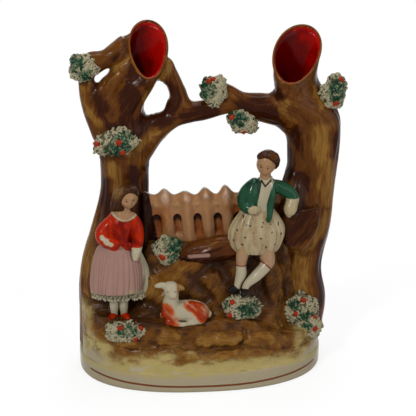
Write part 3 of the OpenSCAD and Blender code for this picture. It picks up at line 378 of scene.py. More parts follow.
def slab(front, back):
    """Two grids of one size, with a strip of faces round their edges."""
    rows, columns = front.shape[:2]
    n = rows * columns
    at = np.arange(n).reshape(rows, columns)
    face = grid_faces(at)
    edge = np.concatenate([at[0, :-1], at[:-1, -1], at[-1, :0:-1], at[:0:-1, 0]])
    after = np.roll(edge, -1)
    strip = np.stack([after, edge, edge + n, after + n], -1)
    quads = np.concatenate([face, face[:, ::-1] + n, strip])
    points = np.concatenate([front.reshape(-1, 3), back.reshape(-1, 3)])
    return outward(points, quads, NO_TRIS)


def strand_skins(tubes):
    """Closed skins of many rows of rings at once, each with a fan of faces over either end."""
    count, rows, sides = tubes.shape[:3]
    points = np.concatenate([
        tubes.reshape(count, rows * sides, 3), tubes[:, :1].mean(2), tubes[:, -1:].mean(2)], axis=1)
    at = np.arange(rows * sides).reshape(rows, sides)
    by = np.roll(at, -1, axis=1)
    quads = np.stack([at[:-1], by[:-1], by[1:], at[1:]], -1).reshape(1, -1, 4)
    pole = np.full(sides, rows * sides)
    tris = np.concatenate([
        np.stack([by[0], at[0], pole], -1), np.stack([at[-1], by[-1], pole + 1], -1)])[None]
    start = (np.arange(count) * points.shape[1])[:, None, None]
    return outward(points.reshape(-1, 3), (quads + start).reshape(-1, 4), (tris + start).reshape(-1, 3))


def joined(shapes):
    """Several shapes as one list of points and faces."""
    starts = np.cumsum([0] + [len(s[0]) for s in shapes[:-1]])
    return (
        np.concatenate([s[0] for s in shapes]),
        np.concatenate([s[1] + n for s, n in zip(shapes, starts)]),
        np.concatenate([s[2] + n for s, n in zip(shapes, starts)]))


def frame_of(centre):
    """Heading of a path, and two directions square to it."""
    way = unit(np.gradient(centre, axis=0))
    beside = unit(np.cross(np.eye(3)[np.argmin(np.abs(way).max(0))], way))
    return way, beside, np.cross(way, beside)


def limb(rows, count, sides, round_start=True):
    """Circles of the rows' radius carried along their path, a half ball at the end and at a round start."""
    path = through(rows, count)
    centre, radius = path[:, :3], path[:, 3]
    way, beside, over = frame_of(centre)
    swing = np.radians(np.linspace(15, 88, CAP_RINGS))
    if round_start:
        centre = np.concatenate([centre[0] - way[0] * radius[0] * np.sin(swing)[::-1, None], centre])
        radius = np.concatenate([radius[0] * np.cos(swing)[::-1], radius])
        way, beside, over = (np.concatenate([np.repeat(d[:1], CAP_RINGS, 0), d]) for d in (way, beside, over))
    centre = np.concatenate([centre, centre[-1] + way[-1] * radius[-1] * np.sin(swing)[:, None]])
    radius = np.concatenate([radius, radius[-1] * np.cos(swing)])
    beside, over = (np.concatenate([d, np.repeat(d[-1:], CAP_RINGS, 0)]) for d in (beside, over))
    a = turns(sides)[:, None]
    across = np.cos(a) * beside[:, None] + np.sin(a) * over[:, None]
    return centre[:, None] + radius[:, None, None] * across


def beside_limb(points, rows):
    """For each point: how far it stands outside the limb, and its place across and along it."""
    path = through(rows, 80)
    centre, radius = path[:, :3], path[:, 3]
    way, beside, over = frame_of(centre)
    along = np.concatenate([[0], np.cumsum(np.linalg.norm(np.diff(centre, axis=0), axis=1))])
    reach = (points ** 2).sum(1)[:, None] - 2 * points @ centre.T + (centre ** 2).sum(1)
    k = reach.argmin(1)
    off = points - centre[k]
    gap = np.linalg.norm(off, axis=1) - radius[k]
    place = points_of((off * beside[k]).sum(1), (off * over[k]).sum(1), along[k] + (off * way[k]).sum(1))
    return gap, place


def level_rings(rows, count, sides, swell=1):
    """Ovals [x, y, z, half width, half depth] stacked through the rows, each times its swell."""
    path = through(rows, count)
    a = turns(sides)
    return points_of(
        path[:, :1] + path[:, 3:4] * swell * np.cos(a), path[:, 1:2] + path[:, 4:5] * swell * np.sin(a),
        path[:, 2:3])


def ball(centre, radii, rows=24, sides=32):
    """A ball stretched to three radii."""
    rise = np.radians(np.linspace(-86, 86, rows))[:, None]
    a = turns(sides)
    flat = np.cos(rise)
    ways = points_of(flat * np.cos(a), flat * np.sin(a), np.sin(rise))
    return np.asarray(centre) + ways * np.asarray(radii)


def weld(shapes, grid, rounds):
    """One closed skin over shapes that run into each other, made on an even grid and then smoothed."""
    points, quads, tris = joined(shapes)
    mesh = mesh_of("weld", points, quads, tris)
    work = bpy.data.objects.new("weld", mesh)
    bpy.context.scene.collection.objects.link(work)
    remesh = work.modifiers.new("weld", "REMESH")
    remesh.mode = "VOXEL"
    remesh.voxel_size = grid
    graph = bpy.context.evaluated_depsgraph_get()
    made = work.evaluated_get(graph).to_mesh()
    count = len(made.vertices)
    points = np.empty(count * 3, np.float32)
    made.vertices.foreach_get("co", points)
    quads = np.empty(len(made.loops), np.int32)
    made.loops.foreach_get("vertex_index", quads)
    if len(quads) != 4 * len(made.polygons) or count == 0:
        raise RuntimeError("the weld gave no even skin")
    work.evaluated_get(graph).to_mesh_clear()
    bpy.data.objects.remove(work)
    bpy.data.meshes.remove(mesh)
    quads = quads.reshape(-1, 4)
    return relaxed(points.reshape(-1, 3).astype(float), quads, 0.5, rounds), quads, NO_TRIS


def neighbours(quads):
    """The edges of a skin as two lists of point numbers."""
    sides = np.concatenate([quads[:, [0, 1]], quads[:, [1, 2]], quads[:, [2, 3]], quads[:, [3, 0]]])
    return np.unique(np.sort(sides, axis=1), axis=0).T


def pull(points, edges):
    """From each point to the mean of its neighbours."""
    a, b = edges
    n = len(points)
    total = np.stack([np.bincount(a, p[b], n) + np.bincount(b, p[a], n) for p in points.T], -1)
    return total / (np.bincount(a, minlength=n) + np.bincount(b, minlength=n))[:, None] - points


def relaxed(points, quads, weight, rounds):
    """Each round moves every point part of the way to the mean of its neighbours."""
    edges = neighbours(quads)
    for _ in range(rounds):
        points = points + weight * pull(points, edges)
    return points


def filled(points, quads, tris, weight, rounds):
    """Like relaxed, but inward steps are cut to a small share: creases fill up and limbs keep their size."""
    edges = neighbours(quads)
    for _ in range(rounds):
        step = pull(points, edges)
        inward = (step * normals(points, quads, tris)).sum(1) < 0
        points = points + (weight * np.where(inward, INWARD_SHARE, 1))[:, None] * step
    return points


def normals(points, quads, tris):
    """Mean direction of the faces round each point."""
    square = np.cross(points[quads[:, 2]] - points[quads[:, 0]], points[quads[:, 3]] - points[quads[:, 1]])
    corner = np.cross(points[tris[:, 1]] - points[tris[:, 0]], points[tris[:, 2]] - points[tris[:, 0]])
    at = np.concatenate([quads.ravel(), tris.ravel()])
    face = np.concatenate([np.repeat(square, 4, 0), np.repeat(corner, 3, 0)])
    total = np.stack([np.bincount(at, face[:, k], len(points)) for k in range(3)], -1)
    return total / np.maximum(np.linalg.norm(total, axis=1, keepdims=True), 1e-12)


def stroke(points, path, width):
    """Brush stroke seen from the front: 1 near the path of x and z, falling to 0 at its half width."""
    path = np.asarray(path, float)
    best = np.full(len(points), np.inf)
    for a, b in zip(path[:-1], path[1:]):
        off = points[:, [0, 2]] - a
        t = np.clip(off @ (b - a) / ((b - a) @ (b - a)), 0, 1)
        best = np.minimum(best, np.linalg.norm(off - t[:, None] * (b - a), axis=1))
    return 1 - ease(width * 0.35, width, best)


def strokes(points, paths):
    """Several brush strokes, only on the front: they fade out where the back half of the trees begins."""
    total = np.zeros(len(points))
    for path, width in paths:
        total = np.maximum(total, stroke(points, path, width))
    return total * (1 - ease(12, 15, points[:, 1]))


def spots(points, places):
    """Painted spots seen from the front: each is x, z, half width and half height."""
    total = np.zeros(len(points))
    for x, z, wide, high in places:
        d = np.hypot((points[:, 0] - x) / wide, (points[:, 2] - z) / high)
        total = np.maximum(total, 1 - ease(0.6, 1.15, d))
    return total


# Meshes and materials

def mesh_of(name, points, quads, tris):
    """A smooth mesh of the points and faces."""
    mesh = bpy.data.meshes.new(name)
    mesh.vertices.add(len(points))
    mesh.vertices.foreach_set("co", np.asarray(points, np.float32).ravel())
    corners = np.concatenate([quads.ravel(), tris.ravel()]).astype(np.int32)
    mesh.loops.add(len(corners))
    mesh.loops.foreach_set("vertex_index", corners)
    starts = np.concatenate([
        np.arange(len(quads)) * 4, len(quads) * 4 + np.arange(len(tris)) * 3]).astype(np.int32)
    mesh.polygons.add(len(starts))
    mesh.polygons.foreach_set("loop_start", starts)
    mesh.polygons.foreach_set("use_smooth", np.ones(len(starts), bool))
    mesh.update(calc_edges=True)
    return mesh


def make_piece(name, shape, material, nodes, masks=None):
    """Puts a shape into the scene as one piece, with its masks, body, CAD nodes and material slot."""
    points, quads, tris = shape
    mesh = mesh_of(name, points * MM, quads, tris)
    for key, values in (masks or {}).items():
        kind, part = ("FLOAT_VECTOR", "vector") if np.ndim(values) == 2 else ("FLOAT", "value")
        data = mesh.attributes.new(key, kind, "POINT").data
        data.foreach_set(part, np.asarray(values, np.float32).ravel())
    mesh.materials.append(material)
    piece = bpy.data.objects.new(name, mesh)
    bpy.context.scene.collection.objects.link(piece)
    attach(piece, "root")
    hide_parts(*nodes)


def put(tree, kind, **settings):
    """A new node with its settings."""
    new = tree.nodes.new(kind)
    for key, value in settings.items():
        setattr(new, key, value)
    return new


def feed(tree, socket, value):
    """Links another node's output to a socket, or sets the socket to a plain value."""
    if isinstance(value, bpy.types.NodeSocket):
        tree.links.new(value, socket)
    else:
        socket.default_value = value


def mixed(tree, factor, low, high):
    """Mix of two colours. The node has sockets for other kinds of value too, so its colours are 6 and 7."""
    new = put(tree, "ShaderNodeMix", data_type="RGBA")
    for index, value in ((0, factor), (6, low), (7, high)):
        feed(tree, new.inputs[index], value)
    return new.outputs[2]


def sums(tree, operation, a, b):
    """Result of a sum with two values."""
    new = put(tree, "ShaderNodeMath", operation=operation)
    feed(tree, new.inputs[0], a)
    feed(tree, new.inputs[1], b)
    return new.outputs[0]


def eased(tree, value, low, high):
    """The shader's form of ease."""
    new = put(tree, "ShaderNodeMapRange", interpolation_type="SMOOTHSTEP")
    feed(tree, new.inputs["Value"], value)
    feed(tree, new.inputs["From Min"], low)
    feed(tree, new.inputs["From Max"], high)
    return new.outputs[0]


def mask(tree, name, output="Fac"):
    """A mask that the piece carries on its points."""
    return put(tree, "ShaderNodeAttribute", attribute_name=name).outputs[output]


def cloud(tree, vector, scale, detail=3.0):
    """Cloudy noise from 0 to 1."""
    new = put(tree, "ShaderNodeTexNoise")
    feed(tree, new.inputs["Vector"], vector)
    new.inputs["Scale"].default_value = scale
    new.inputs["Detail"].default_value = detail
    return new.outputs["Fac"]


def new_group(name, inputs, outputs):
    """An empty shader group with its sockets, each given as a name and a kind."""
    group = bpy.data.node_groups.new(name, "ShaderNodeTree")
    for direction, sockets in (("INPUT", inputs), ("OUTPUT", outputs)):
        for label, kind in sockets:
            group.interface.new_socket(label, in_out=direction, socket_type="NodeSocket" + kind)
    return group, put(group, "NodeGroupInput"), put(group, "NodeGroupOutput")


def pooled_glaze():
    """Glaze that lies thicker in places: the colour darkens and lightens in clouds, with a faint ripple."""
    if "Pooled glaze" in bpy.data.node_groups:
        return bpy.data.node_groups["Pooled glaze"]
    group, given, out = new_group(
        "Pooled glaze", [("Color", "Color"), ("Amount", "Float")],
        [("Color", "Color"), ("Roughness", "Float"), ("Height", "Float")])
    place = put(group, "ShaderNodeTexCoord").outputs["Object"]
    wide, fine = cloud(group, place, 130.0), cloud(group, place, 900.0, 2.0)
    sway = sums(group, "ADD", sums(group, "MULTIPLY", wide, 0.7), sums(group, "MULTIPLY", fine, 0.3))
    swing = sums(group, "MULTIPLY", sums(group, "SUBTRACT", sway, 0.5), given.outputs["Amount"])
    shade = put(group, "ShaderNodeHueSaturation")
    feed(group, shade.inputs["Value"], sums(group, "ADD", 1.0, swing))
    feed(group, shade.inputs["Color"], given.outputs["Color"])
    feed(group, out.inputs["Color"], shade.outputs["Color"])
    feed(group, out.inputs["Roughness"], sums(group, "ADD", 0.09, sums(group, "MULTIPLY", wide, 0.14)))
    feed(group, out.inputs["Height"], sway)
    return group


def brush_streaks():
    """Long brush strokes along a limb: dark and light streaks over a base, more where a mask asks."""
    if "Brush streaks" in bpy.data.node_groups:
        return bpy.data.node_groups["Brush streaks"]
    group, given, out = new_group(
        "Brush streaks",
        [("Flow", "Vector"), ("Base", "Color"), ("Dark", "Color"), ("Light", "Color"),
         ("Dark Mask", "Float"), ("Light Mask", "Float")],
        [("Color", "Color"), ("Height", "Float")])
    flow = given.outputs["Flow"]
    broad = cloud(group, flow, 0.2, 2.0)
    thin = cloud(group, flow, 0.6, 4.0)
    fine = cloud(group, flow, 2.2, 3.0)
    both = sums(group, "ADD", sums(group, "MULTIPLY", broad, 0.3), sums(group, "MULTIPLY", thin, 0.42))
    both = sums(group, "SUBTRACT", sums(group, "ADD", both, sums(group, "MULTIPLY", fine, 0.28)), 0.5)
    swing = sums(group, "SUBTRACT", given.outputs["Light Mask"], given.outputs["Dark Mask"])
    pale = sums(group, "ADD", sums(group, "MULTIPLY", both, 3.6), sums(group, "MULTIPLY", swing, 0.6))
    deep = sums(group, "MULTIPLY", pale, -1.0)
    colour = mixed(group, eased(group, pale, 0.05, 0.9), given.outputs["Base"], given.outputs["Light"])
    colour = mixed(group, eased(group, deep, -0.1, 0.75), colour, given.outputs["Dark"])
    feed(group, out.inputs["Color"], colour)
    feed(group, out.inputs["Height"], thin)
    return group


def use_group(tree, group, **inputs):
    """Places a node group. An underscore in a key stands for the space in its input's name."""
    new = put(tree, "ShaderNodeGroup", node_tree=group)
    for key, value in inputs.items():
        feed(tree, new.inputs[key.replace("_", " ")], value)
    return new


def paint(key):
    """A glaze colour of the scene, by its name, as a shader colour."""
    return (*getattr(bpy.context.scene.spill_vase_colours, key), 1.0)


def glazed(name, base, layers=(), pool=0.5, ripple=0.12, streaks=None, gloss=0.06):
    """Glazed clay: a base colour, then painted layers where their masks show, uneven at the edges.

    A layer is its mask, its colour, and the mask's values at which it starts and is full. Pool is how much
    the colour darkens and lightens in clouds, ripple the strength of the bumps, streaks the dark and the
    light colour of brush strokes, and gloss the strength of the reflections.
    """
    material = bpy.data.materials.new(name)
    material.use_nodes = True
    tree = material.node_tree
    shader = tree.nodes["Principled BSDF"]
    shader.inputs["Specular IOR Level"].default_value = gloss
    place = put(tree, "ShaderNodeTexCoord").outputs["Object"]
    edge = sums(tree, "MULTIPLY", sums(tree, "SUBTRACT", cloud(tree, place, 700.0), 0.5), 0.5)
    colour, height = paint(base), None
    if streaks:
        dark, light = streaks
        brushed = use_group(
            tree, brush_streaks(), Flow=mask(tree, "flow", "Vector"), Base=colour, Dark=paint(dark),
            Light=paint(light), Dark_Mask=mask(tree, "dark"), Light_Mask=mask(tree, "light"))
        colour, height = brushed.outputs["Color"], brushed.outputs["Height"]
    for key, layer, low, high in layers:
        uneven = sums(tree, "ADD", mask(tree, key), sums(tree, "MULTIPLY", edge, high - low))
        colour = mixed(tree, eased(tree, uneven, low, high), colour, paint(layer))
    pooled = use_group(tree, pooled_glaze(), Color=colour, Amount=pool)
    feed(tree, shader.inputs["Base Color"], pooled.outputs["Color"])
    feed(tree, shader.inputs["Roughness"], pooled.outputs["Roughness"])
    bump = put(tree, "ShaderNodeBump")
    bump.inputs["Strength"].default_value = ripple
    bump.inputs["Distance"].default_value = 0.4 * MM
    feed(tree, bump.inputs["Height"], height if height else pooled.outputs["Height"])
    feed(tree, shader.inputs["Normal"], bump.outputs["Normal"])
    return material


# Plinth and ground

def ground_front(x, sizes):
    """Front line of the ground: half an oval, a little inside the plinth's."""
    half = sizes.plinth_width / MM / 2 - GROUND_INSET
    reach = sizes.plinth_front / MM - GROUND_INSET
    share = np.minimum(np.abs(x) / half, 1)
    return WIDEST_Y - reach * (1 - share ** FRONT_POWER) ** (1 / FRONT_POWER)


def plinth_shape(sizes):
    """Profile of foot, band and deck, as insets and heights, carried round the plan of two half ovals."""
    high = sizes.plinth_height / MM
    foot = [
        [60, 5.6], [6, 5.6], [5.2, 5.2], [5, 1.2], [4.4, 0.2], [3.4, 0], [1.6, 0], [0.6, 0.35], [0.1, 1.2]]
    band = [[0, z] for z in np.arange(2.2, 8.6, 0.16)]
    deck = [
        [0.02, 9.5], [0.1, high - 2], [0.3, high - 1], [0.8, high - 0.3], [1.8, high], [4, high + 0.05],
        [30, high], [60, high]]
    inset, level = np.array(foot + band + deck).T[..., None]
    sides, least = 288, 0.5
    a = turns(sides)[None] + np.pi / sides
    front = np.sin(a) < 0
    power = np.where(front, FRONT_POWER, BACK_POWER)
    reach = np.maximum(np.where(front, sizes.plinth_front / MM, sizes.plinth_back / MM) - inset, least)
    half = np.maximum(sizes.plinth_width / MM / 2 - inset, least)
    x = half * np.sign(np.cos(a)) * np.abs(np.cos(a)) ** (2 / power)
    y = WIDEST_Y + reach * np.sign(np.sin(a)) * np.abs(np.sin(a)) ** (2 / power)
    return skin(points_of(x, y, level))


def ledge_height(x):
    """The ledge falls towards the right tree."""
    return LEDGE_TOP - LEDGE_FALL * ease(21.4, 55.1, x)


def ground_height(x, y, sizes):
    """Front slope in two steps, a ledge, and a bank between the trees."""
    run = 12 - 5 * ease(23, 46, np.abs(x))
    far = (y - ground_front(x, sizes)) / run
    wander = 0.13 * rough(points_of(x, 0, 0), 11, 5, 2)
    slope = 0.42 * ease(0.0, 0.42, far + wander) + 0.58 * ease(0.46, 0.92, far - wander)
    brow = -2 + 10.6 * ease(40.6, 56.2, x)
    bank = ease(brow - 13, brow, y) * ease(-43.7, -30.7, x) * (1 - ease(51, 64, x))
    foot = GROUND_FOOT + GROUND_STEP * ease(0, 0.16, far)
    ledge = ledge_height(x)
    return foot + (ledge - (GROUND_FOOT + GROUND_STEP)) * slope + (BANK_TOP - ledge) * bank


def ground_plan(sizes):
    """Grid of the ground: columns that lie closer at both ends, and rows from the front line to the trees."""
    columns, rows = 256, 140
    half, swing, behind = 73.875, np.radians(68), 22.1
    across = half * np.sin(swing * np.linspace(-1, 1, columns)) / np.sin(swing)
    end = np.maximum(ease(-68.1, -76.5, across), ease(69, 76.5, across))
    back = behind + (TREE_Y - behind) * end
    share = np.linspace(0, 1, rows)[:, None] ** 1.3
    front = ground_front(across, sizes)
    return np.broadcast_to(across, (rows, columns)), front + (back - front) * share, front, share


def ground_relief(points, sizes):
    """Lumps with wandering edges, and with them the rough crags: how far each point stands out."""
    bent = points + points_of(3 * rough(points, 8, 33), 0, 2.4 * rough(points, 8, 37))
    lumps = sum(stroke(bent, path, wide * 1.2) * out for path, wide, out in LUMPS)
    ridge = 1 - 2 * np.abs(rough(points * [0.6, 1, 1], 10, 21, 3))
    crag = rough(points * [0.7, 1, 1], 7, 9) * 0.8 + ridge * 0.6
    return lumps, 0.75 * lumps + sizes.rock_relief / MM * crag


def ground_shape(sizes):
    """Height of the ground on its grid, raised towards the trunks, pushed out along its normal by the relief,
    and lowered inside the trunks."""
    x, y, front, share = ground_plan(sizes)
    top = points_of(x, y, ground_height(x, y, sizes))
    flat = top.reshape(-1, 3)
    depth = np.maximum(trunk_place(flat, LEFT_TRUNK)[0], trunk_place(flat, RIGHT_TRUNK)[0]).reshape(x.shape)
    top[..., 2] += 9 * np.exp(np.minimum(depth, 0) / 3.2) * ease(3, 9, y - front)
    away = unit(np.cross(np.gradient(top, axis=1), np.gradient(top, axis=0)))
    flat = top.reshape(-1, 3)
    lumps, push = (values.reshape(x.shape) for values in ground_relief(flat, sizes))
    # How far each point lies below the smoothed relief: painted shade for the hollows, painted light for the
    # tops.
    mean = push.copy()
    for _ in range(30):
        mean[1:-1, 1:-1] = (mean[:-2, 1:-1] + mean[2:, 1:-1] + mean[1:-1, :-2] + mean[1:-1, 2:]) / 4
    hollow = np.clip((mean - push) * 0.9, -1, 1)
    keep = ease(0, 4, y - front) * (1 - ease(0.9, 1, share)) * (1 - ease(70, 73, np.abs(x)))
    top = top + (push * keep)[..., None] * away
    underside, least, in_trunk = 12.2, 12.4, 13.6
    top[..., 1] = np.maximum(top[..., 1], ground_front(top[..., 0], sizes))
    top[..., 2] = np.where(depth > 1.2, in_trunk, np.maximum(top[..., 2], least))
    base = points_of(top[..., 0], top[..., 1], underside)
    return slab(top, base), ground_masks(x, y, top[..., 2], flat, lumps, hollow)


def ground_masks(x, y, z, flat, lumps, hollow):
    """Painted areas: the hollows, which carry painted shade and light, the pale wash of the front slope with
    cream trails, bare clay at both ends and the plain back."""
    sway = rough(flat * [0.6, 1, 1], 12, 3).reshape(x.shape)
    blot = rough(flat * [0.5, 1, 1], 8, 31).reshape(x.shape)
    trail = rough(flat * [0.22, 1, 1], 3.6, 43).reshape(x.shape)
    shown = 1 - ease(8, 16, y)
    low = 1 - ease(15, 33, z + 6 * blot + 3 * sway + 0.09 * np.maximum(x, 0))
    wash = low * (1 - 0.55 * ease(0.5, 2.2, lumps + 0.9 * blot)) * shown
    cream = wash * ease(0.05, 0.7, trail + 0.5 * blot)
    wash = wash * (1 - 0.6 * ease(0.1, 0.7, -trail) * ease(13.5, 18, z))
    bare = ease(48, 68, np.abs(x)) * (1 - ease(13.4, 24, z + 4 * sway)) * shown
    masks = {"hollow": hollow, "wash": wash, "cream": cream, "bare": bare, "plain": ease(11, 15, y)}
    return {key: np.concatenate([values.ravel(), values.ravel()]) for key, values in masks.items()}


# Trees

def trunk_place(points, rows):
    """For each point: depth under the bark, height of its ring, and its place across the trunk."""
    path = through(rows, 240)
    level = points[:, 2].copy()
    for _ in range(7):
        level = points[:, 2] - np.interp(level, path[:, 0], path[:, 4]) * (points[:, 1] - TREE_Y)
    x, wide, deep, lean, swell = (np.interp(level, path[:, 0], path[:, k]) for k in (1, 2, 3, 5, 6))
    front = (points[:, 1] - TREE_Y) / deep
    wide = wide * (1 + swell * np.clip(front, -1, 1))
    side = (points[:, 0] - x - lean * (points[:, 1] - TREE_Y)) / wide
    share = np.hypot(side, front)
    size = np.sqrt(wide * deep)
    place = points_of(side * size, front * size, level)
    return (1 - share) * size, place, (x, wide, deep, lean, share, side, front)


def trunk_ring(row, inset, a):
    """Ring of a trunk, moved inward: an oval that swells, leans sideways and rises towards the back."""
    z, x, wide, deep, slope, lean, swell = row
    wide, deep = (wide - inset) * (1 + swell * np.sin(a)), deep - inset
    return points_of(
        x + wide * np.cos(a) + lean * deep * np.sin(a), TREE_Y + deep * np.sin(a),
        z + slope * deep * np.sin(a))


def trunk_rings(rows, wall):
    """Rings of the bark from the foot to the rim, then rings of the lining back down to the floor."""
    path, a = through(rows, 90).T[..., None], turns(96)
    return np.concatenate([trunk_ring(path, 0, a), trunk_ring(path, wall, a)[:1:-1]])


def clear_of_hollow(rings, rows, wall):
    """Moves the root of a bough out of the hollow of its trunk, into the wall and below the rim."""
    shape = rings.shape
    points = rings.reshape(-1, 3).copy()
    _, place, (x, wide, deep, lean, share, side, front) = trunk_place(points, rows)
    points[:, 2] -= np.maximum(place[:, 2] - rows[-1, 0] + 0.5, 0) * ease(1.3, 1.1, share)
    least = 1 - wall * 0.55 / np.sqrt(wide * deep)
    grow = np.where(share < least, least / np.maximum(share, 0.08), 1)
    points[:, 1] = TREE_Y + front * grow * deep
    points[:, 0] = x + side * grow * wide + lean * (points[:, 1] - TREE_Y)
    return points.reshape(shape)


def lip_shape(rows):
    """Rounded lip: a small circle of slightly uneven radius, carried round the top ring of a trunk."""
    a, b = turns(128), turns(20)[:, None]
    centre = trunk_ring(rows[-1], LIP, a)
    way = unit(np.roll(centre, -1, 0) - np.roll(centre, 1, 0))
    over = unit(np.cross(centre - centre.mean(0), way))
    out = np.cross(way, over)
    thick = LIP + 0.12 * np.cos(3 * a + 1)
    rings = centre[:, None] + thick[:, None, None] * (np.cos(b) * out[:, None] + np.sin(b) * over[:, None])
    at = np.arange(a.size * b.size).reshape(a.size, b.size)
    by, up = np.roll(at, -1, axis=1), np.roll(at, -1, axis=0)
    quads = np.stack([at, by, np.roll(by, -1, axis=0), up], -1).reshape(-1, 4)
    return outward(rings.reshape(-1, 3), quads, NO_TRIS)


def stump_rings():
    """Outline of the stump, rounded at its corners, set at one depth after another and sized for each."""
    line = np.array(STUMP_OUTLINE + STUMP_OUTLINE[:1])
    share = np.concatenate([[0], np.cumsum(np.hypot(*np.diff(line, axis=0).T))])
    t = np.linspace(0, share[-1], 120, endpoint=False)
    edge = np.stack([np.interp(t, share, line[:, k]) for k in (0, 1)], -1)
    for _ in range(16):
        edge = (np.roll(edge, 1, 0) + 2 * edge + np.roll(edge, -1, 0)) / 4
    middle = edge.mean(0)
    depth, size = np.array(STUMP_RINGS).T[..., None]
    x, z = (middle[k] + (edge[:, k] - middle[k]) * size for k in (0, 1))
    return points_of(x, depth, z)


def from_seam(rows):
    """Rows given from the seam of the trees, as x, y, z and radius."""
    return [[x, TREE_Y + sum(behind), z, radius] for x, z, radius, *behind in rows]


def tree_shape(trunk, boughs, webs, blocks, sizes):
    """Trunk and boughs welded into one skin, softened where they meet, with bark ridges along each limb."""
    wall = sizes.tree_wall / MM
    boughs, webs = ([from_seam(rows) for rows in limbs] for limbs in (boughs, webs))
    shapes = [skin(trunk_rings(trunk, wall))]
    shapes += [skin(clear_of_hollow(limb(rows, 44, 40), trunk, wall)) for rows in boughs + webs]
    shapes += [skin(clear_of_hollow(rings, trunk, wall)) for rings in blocks]
    points, quads, tris = weld(shapes, sizes.tree_grid / MM, 6)

    depth, place, _ = trunk_place(points, trunk)
    gaps, places = [-depth], [place]
    for rows in boughs:
        gap, across = beside_limb(points, rows)
        gaps.append(gap)
        places.append(across)
    gaps = np.array(gaps)
    near = np.sort(gaps, axis=0)[1]
    inner = ease(0.9, 1.6, depth)
    join = (1 - ease(3.0, 11.0, near)) * (1 - inner)
    points = filled(points, quads, tris, 0.6 * join, 90)
    points = relaxed(points, quads, (0.4 * join)[:, None], 6)

    weight = np.exp(-np.maximum(gaps, -3) / 2.6)
    weight /= weight.sum(0)
    flow = sum(w[:, None] * p * [1, 1, 0.13] for w, p in zip(weight, places))
    outside = (1 - inner) * (1 - ease(14, 19, points[:, 1]))
    ridge = rough(flow, 4.2, 11, 3) + 0.5 * (1 - np.abs(rough(flow, 7.5, 17, 2)) * 2)
    lift = sizes.bark_relief / MM * ridge * outside * (1 - 0.5 * join)
    away = normals(points, quads, tris)
    points = points + lift[:, None] * away
    plain = ease(15.5, 19, points[:, 1]) * ease(-0.2, 0.4, away[:, 1]) * (1 - inner)
    masks = {"flow": flow, "depth": depth, "level": place[:, 2], "plain": plain}
    return (points, quads, tris), masks


# Girl, boy and lamb

def head_shape(size, turn, nod, lean):
    """Ball narrowed at the jaw: brow, nose, lips, chin and cheeks raised as bell curves, the eyes set in."""
    rise = np.radians(np.linspace(-88, 88, 90))[:, None]
    a = turns(120)
    x, y, z = np.broadcast_arrays(np.cos(rise) * np.sin(a), -np.cos(rise) * np.cos(a), np.sin(rise))

    def bump(at_x, at_z, wide, high):
        """A bell curve over the face."""
        return np.exp(-((x - at_x) / wide) ** 2 - ((z - at_z) / high) ** 2)

    def pair(at_x, at_z, wide, high):
        """The same bell curve on both sides of the face."""
        return bump(at_x, at_z, wide, high) + bump(-at_x, at_z, wide, high)

    raised = ease(0.1, 0.6, -y) * (
        0.13 * bump(0, -0.2, 0.1, 0.24) + 0.13 * bump(0, -0.38, 0.13, 0.1)
        + 0.04 * pair(0.12, -0.42, 0.07, 0.07) - 0.1 * pair(0.36, 0.0, 0.19, 0.13)
        + 0.06 * pair(0.36, -0.01, 0.13, 0.08) + 0.05 * pair(0.36, 0.22, 0.24, 0.08)
        + 0.06 * bump(0, -0.62, 0.19, 0.05) + 0.06 * bump(0, -0.74, 0.16, 0.06)
        - 0.03 * bump(0, -0.675, 0.2, 0.02) + 0.09 * bump(0, -0.93, 0.22, 0.12)
        + 0.05 * pair(0.46, -0.4, 0.22, 0.24))
    narrow = 1 - 0.3 * ease(-0.1, -1.0, z)
    deep = y * (1 - 0.12 * ease(-0.3, -1, z)) - raised
    shape = points_of(x * narrow, deep, z) * (np.asarray(size) / 2)
    for angle, (i, j) in ((nod, (1, 2)), (lean, (2, 0)), (turn, (0, 1))):
        c, s = np.cos(np.radians(angle)), np.sin(np.radians(angle))
        one, two = shape[..., i], shape[..., j]
        shape[..., i], shape[..., j] = c * one - s * two, s * one + c * two
    shown = ease(0.25, 0.5, -y)
    masks = {
        "eye": shown * np.clip(pair(0.36, 0.0, 0.085, 0.055) + pair(0.36, 0.06, 0.17, 0.022) * 0.8, 0, 1),
        "brow": shown * np.clip(pair(0.37, 0.24, 0.19, 0.03), 0, 1),
        "lip": shown * np.clip(bump(0, -0.63, 0.15, 0.05) + bump(0, -0.73, 0.13, 0.05), 0, 1),
        "blush": shown * np.clip(pair(0.5, -0.36, 0.24, 0.2), 0, 1),
    }
    return shape, masks


def skin_glaze():
    """The glaze of both faces, made once."""
    if "skin glaze" in bpy.data.materials:
        return bpy.data.materials["skin glaze"]
    layers = [
        ("blush", "blush", 0.2, 1.6), ("lip", "blush", 0.2, 0.8), ("brow", "hair", 0.3, 0.9),
        ("eye", "ink", 0.35, 0.8)]
    return glazed("skin glaze", "flesh", layers, pool=0.15, ripple=0.05)


def head_piece(name, node, centre, neck, size, pose):
    """Head and neck as one piece, with the painted face."""
    rings, masks = head_shape(size, *pose)
    shapes = [skin(rings + centre), skin(limb(neck, 16, 28))]
    blank = np.zeros(2 + len(shapes[1][0]))
    full = {key: np.concatenate([values.ravel(), blank]) for key, values in masks.items()}
    make_piece(name, joined(shapes), skin_glaze(), [node], full)


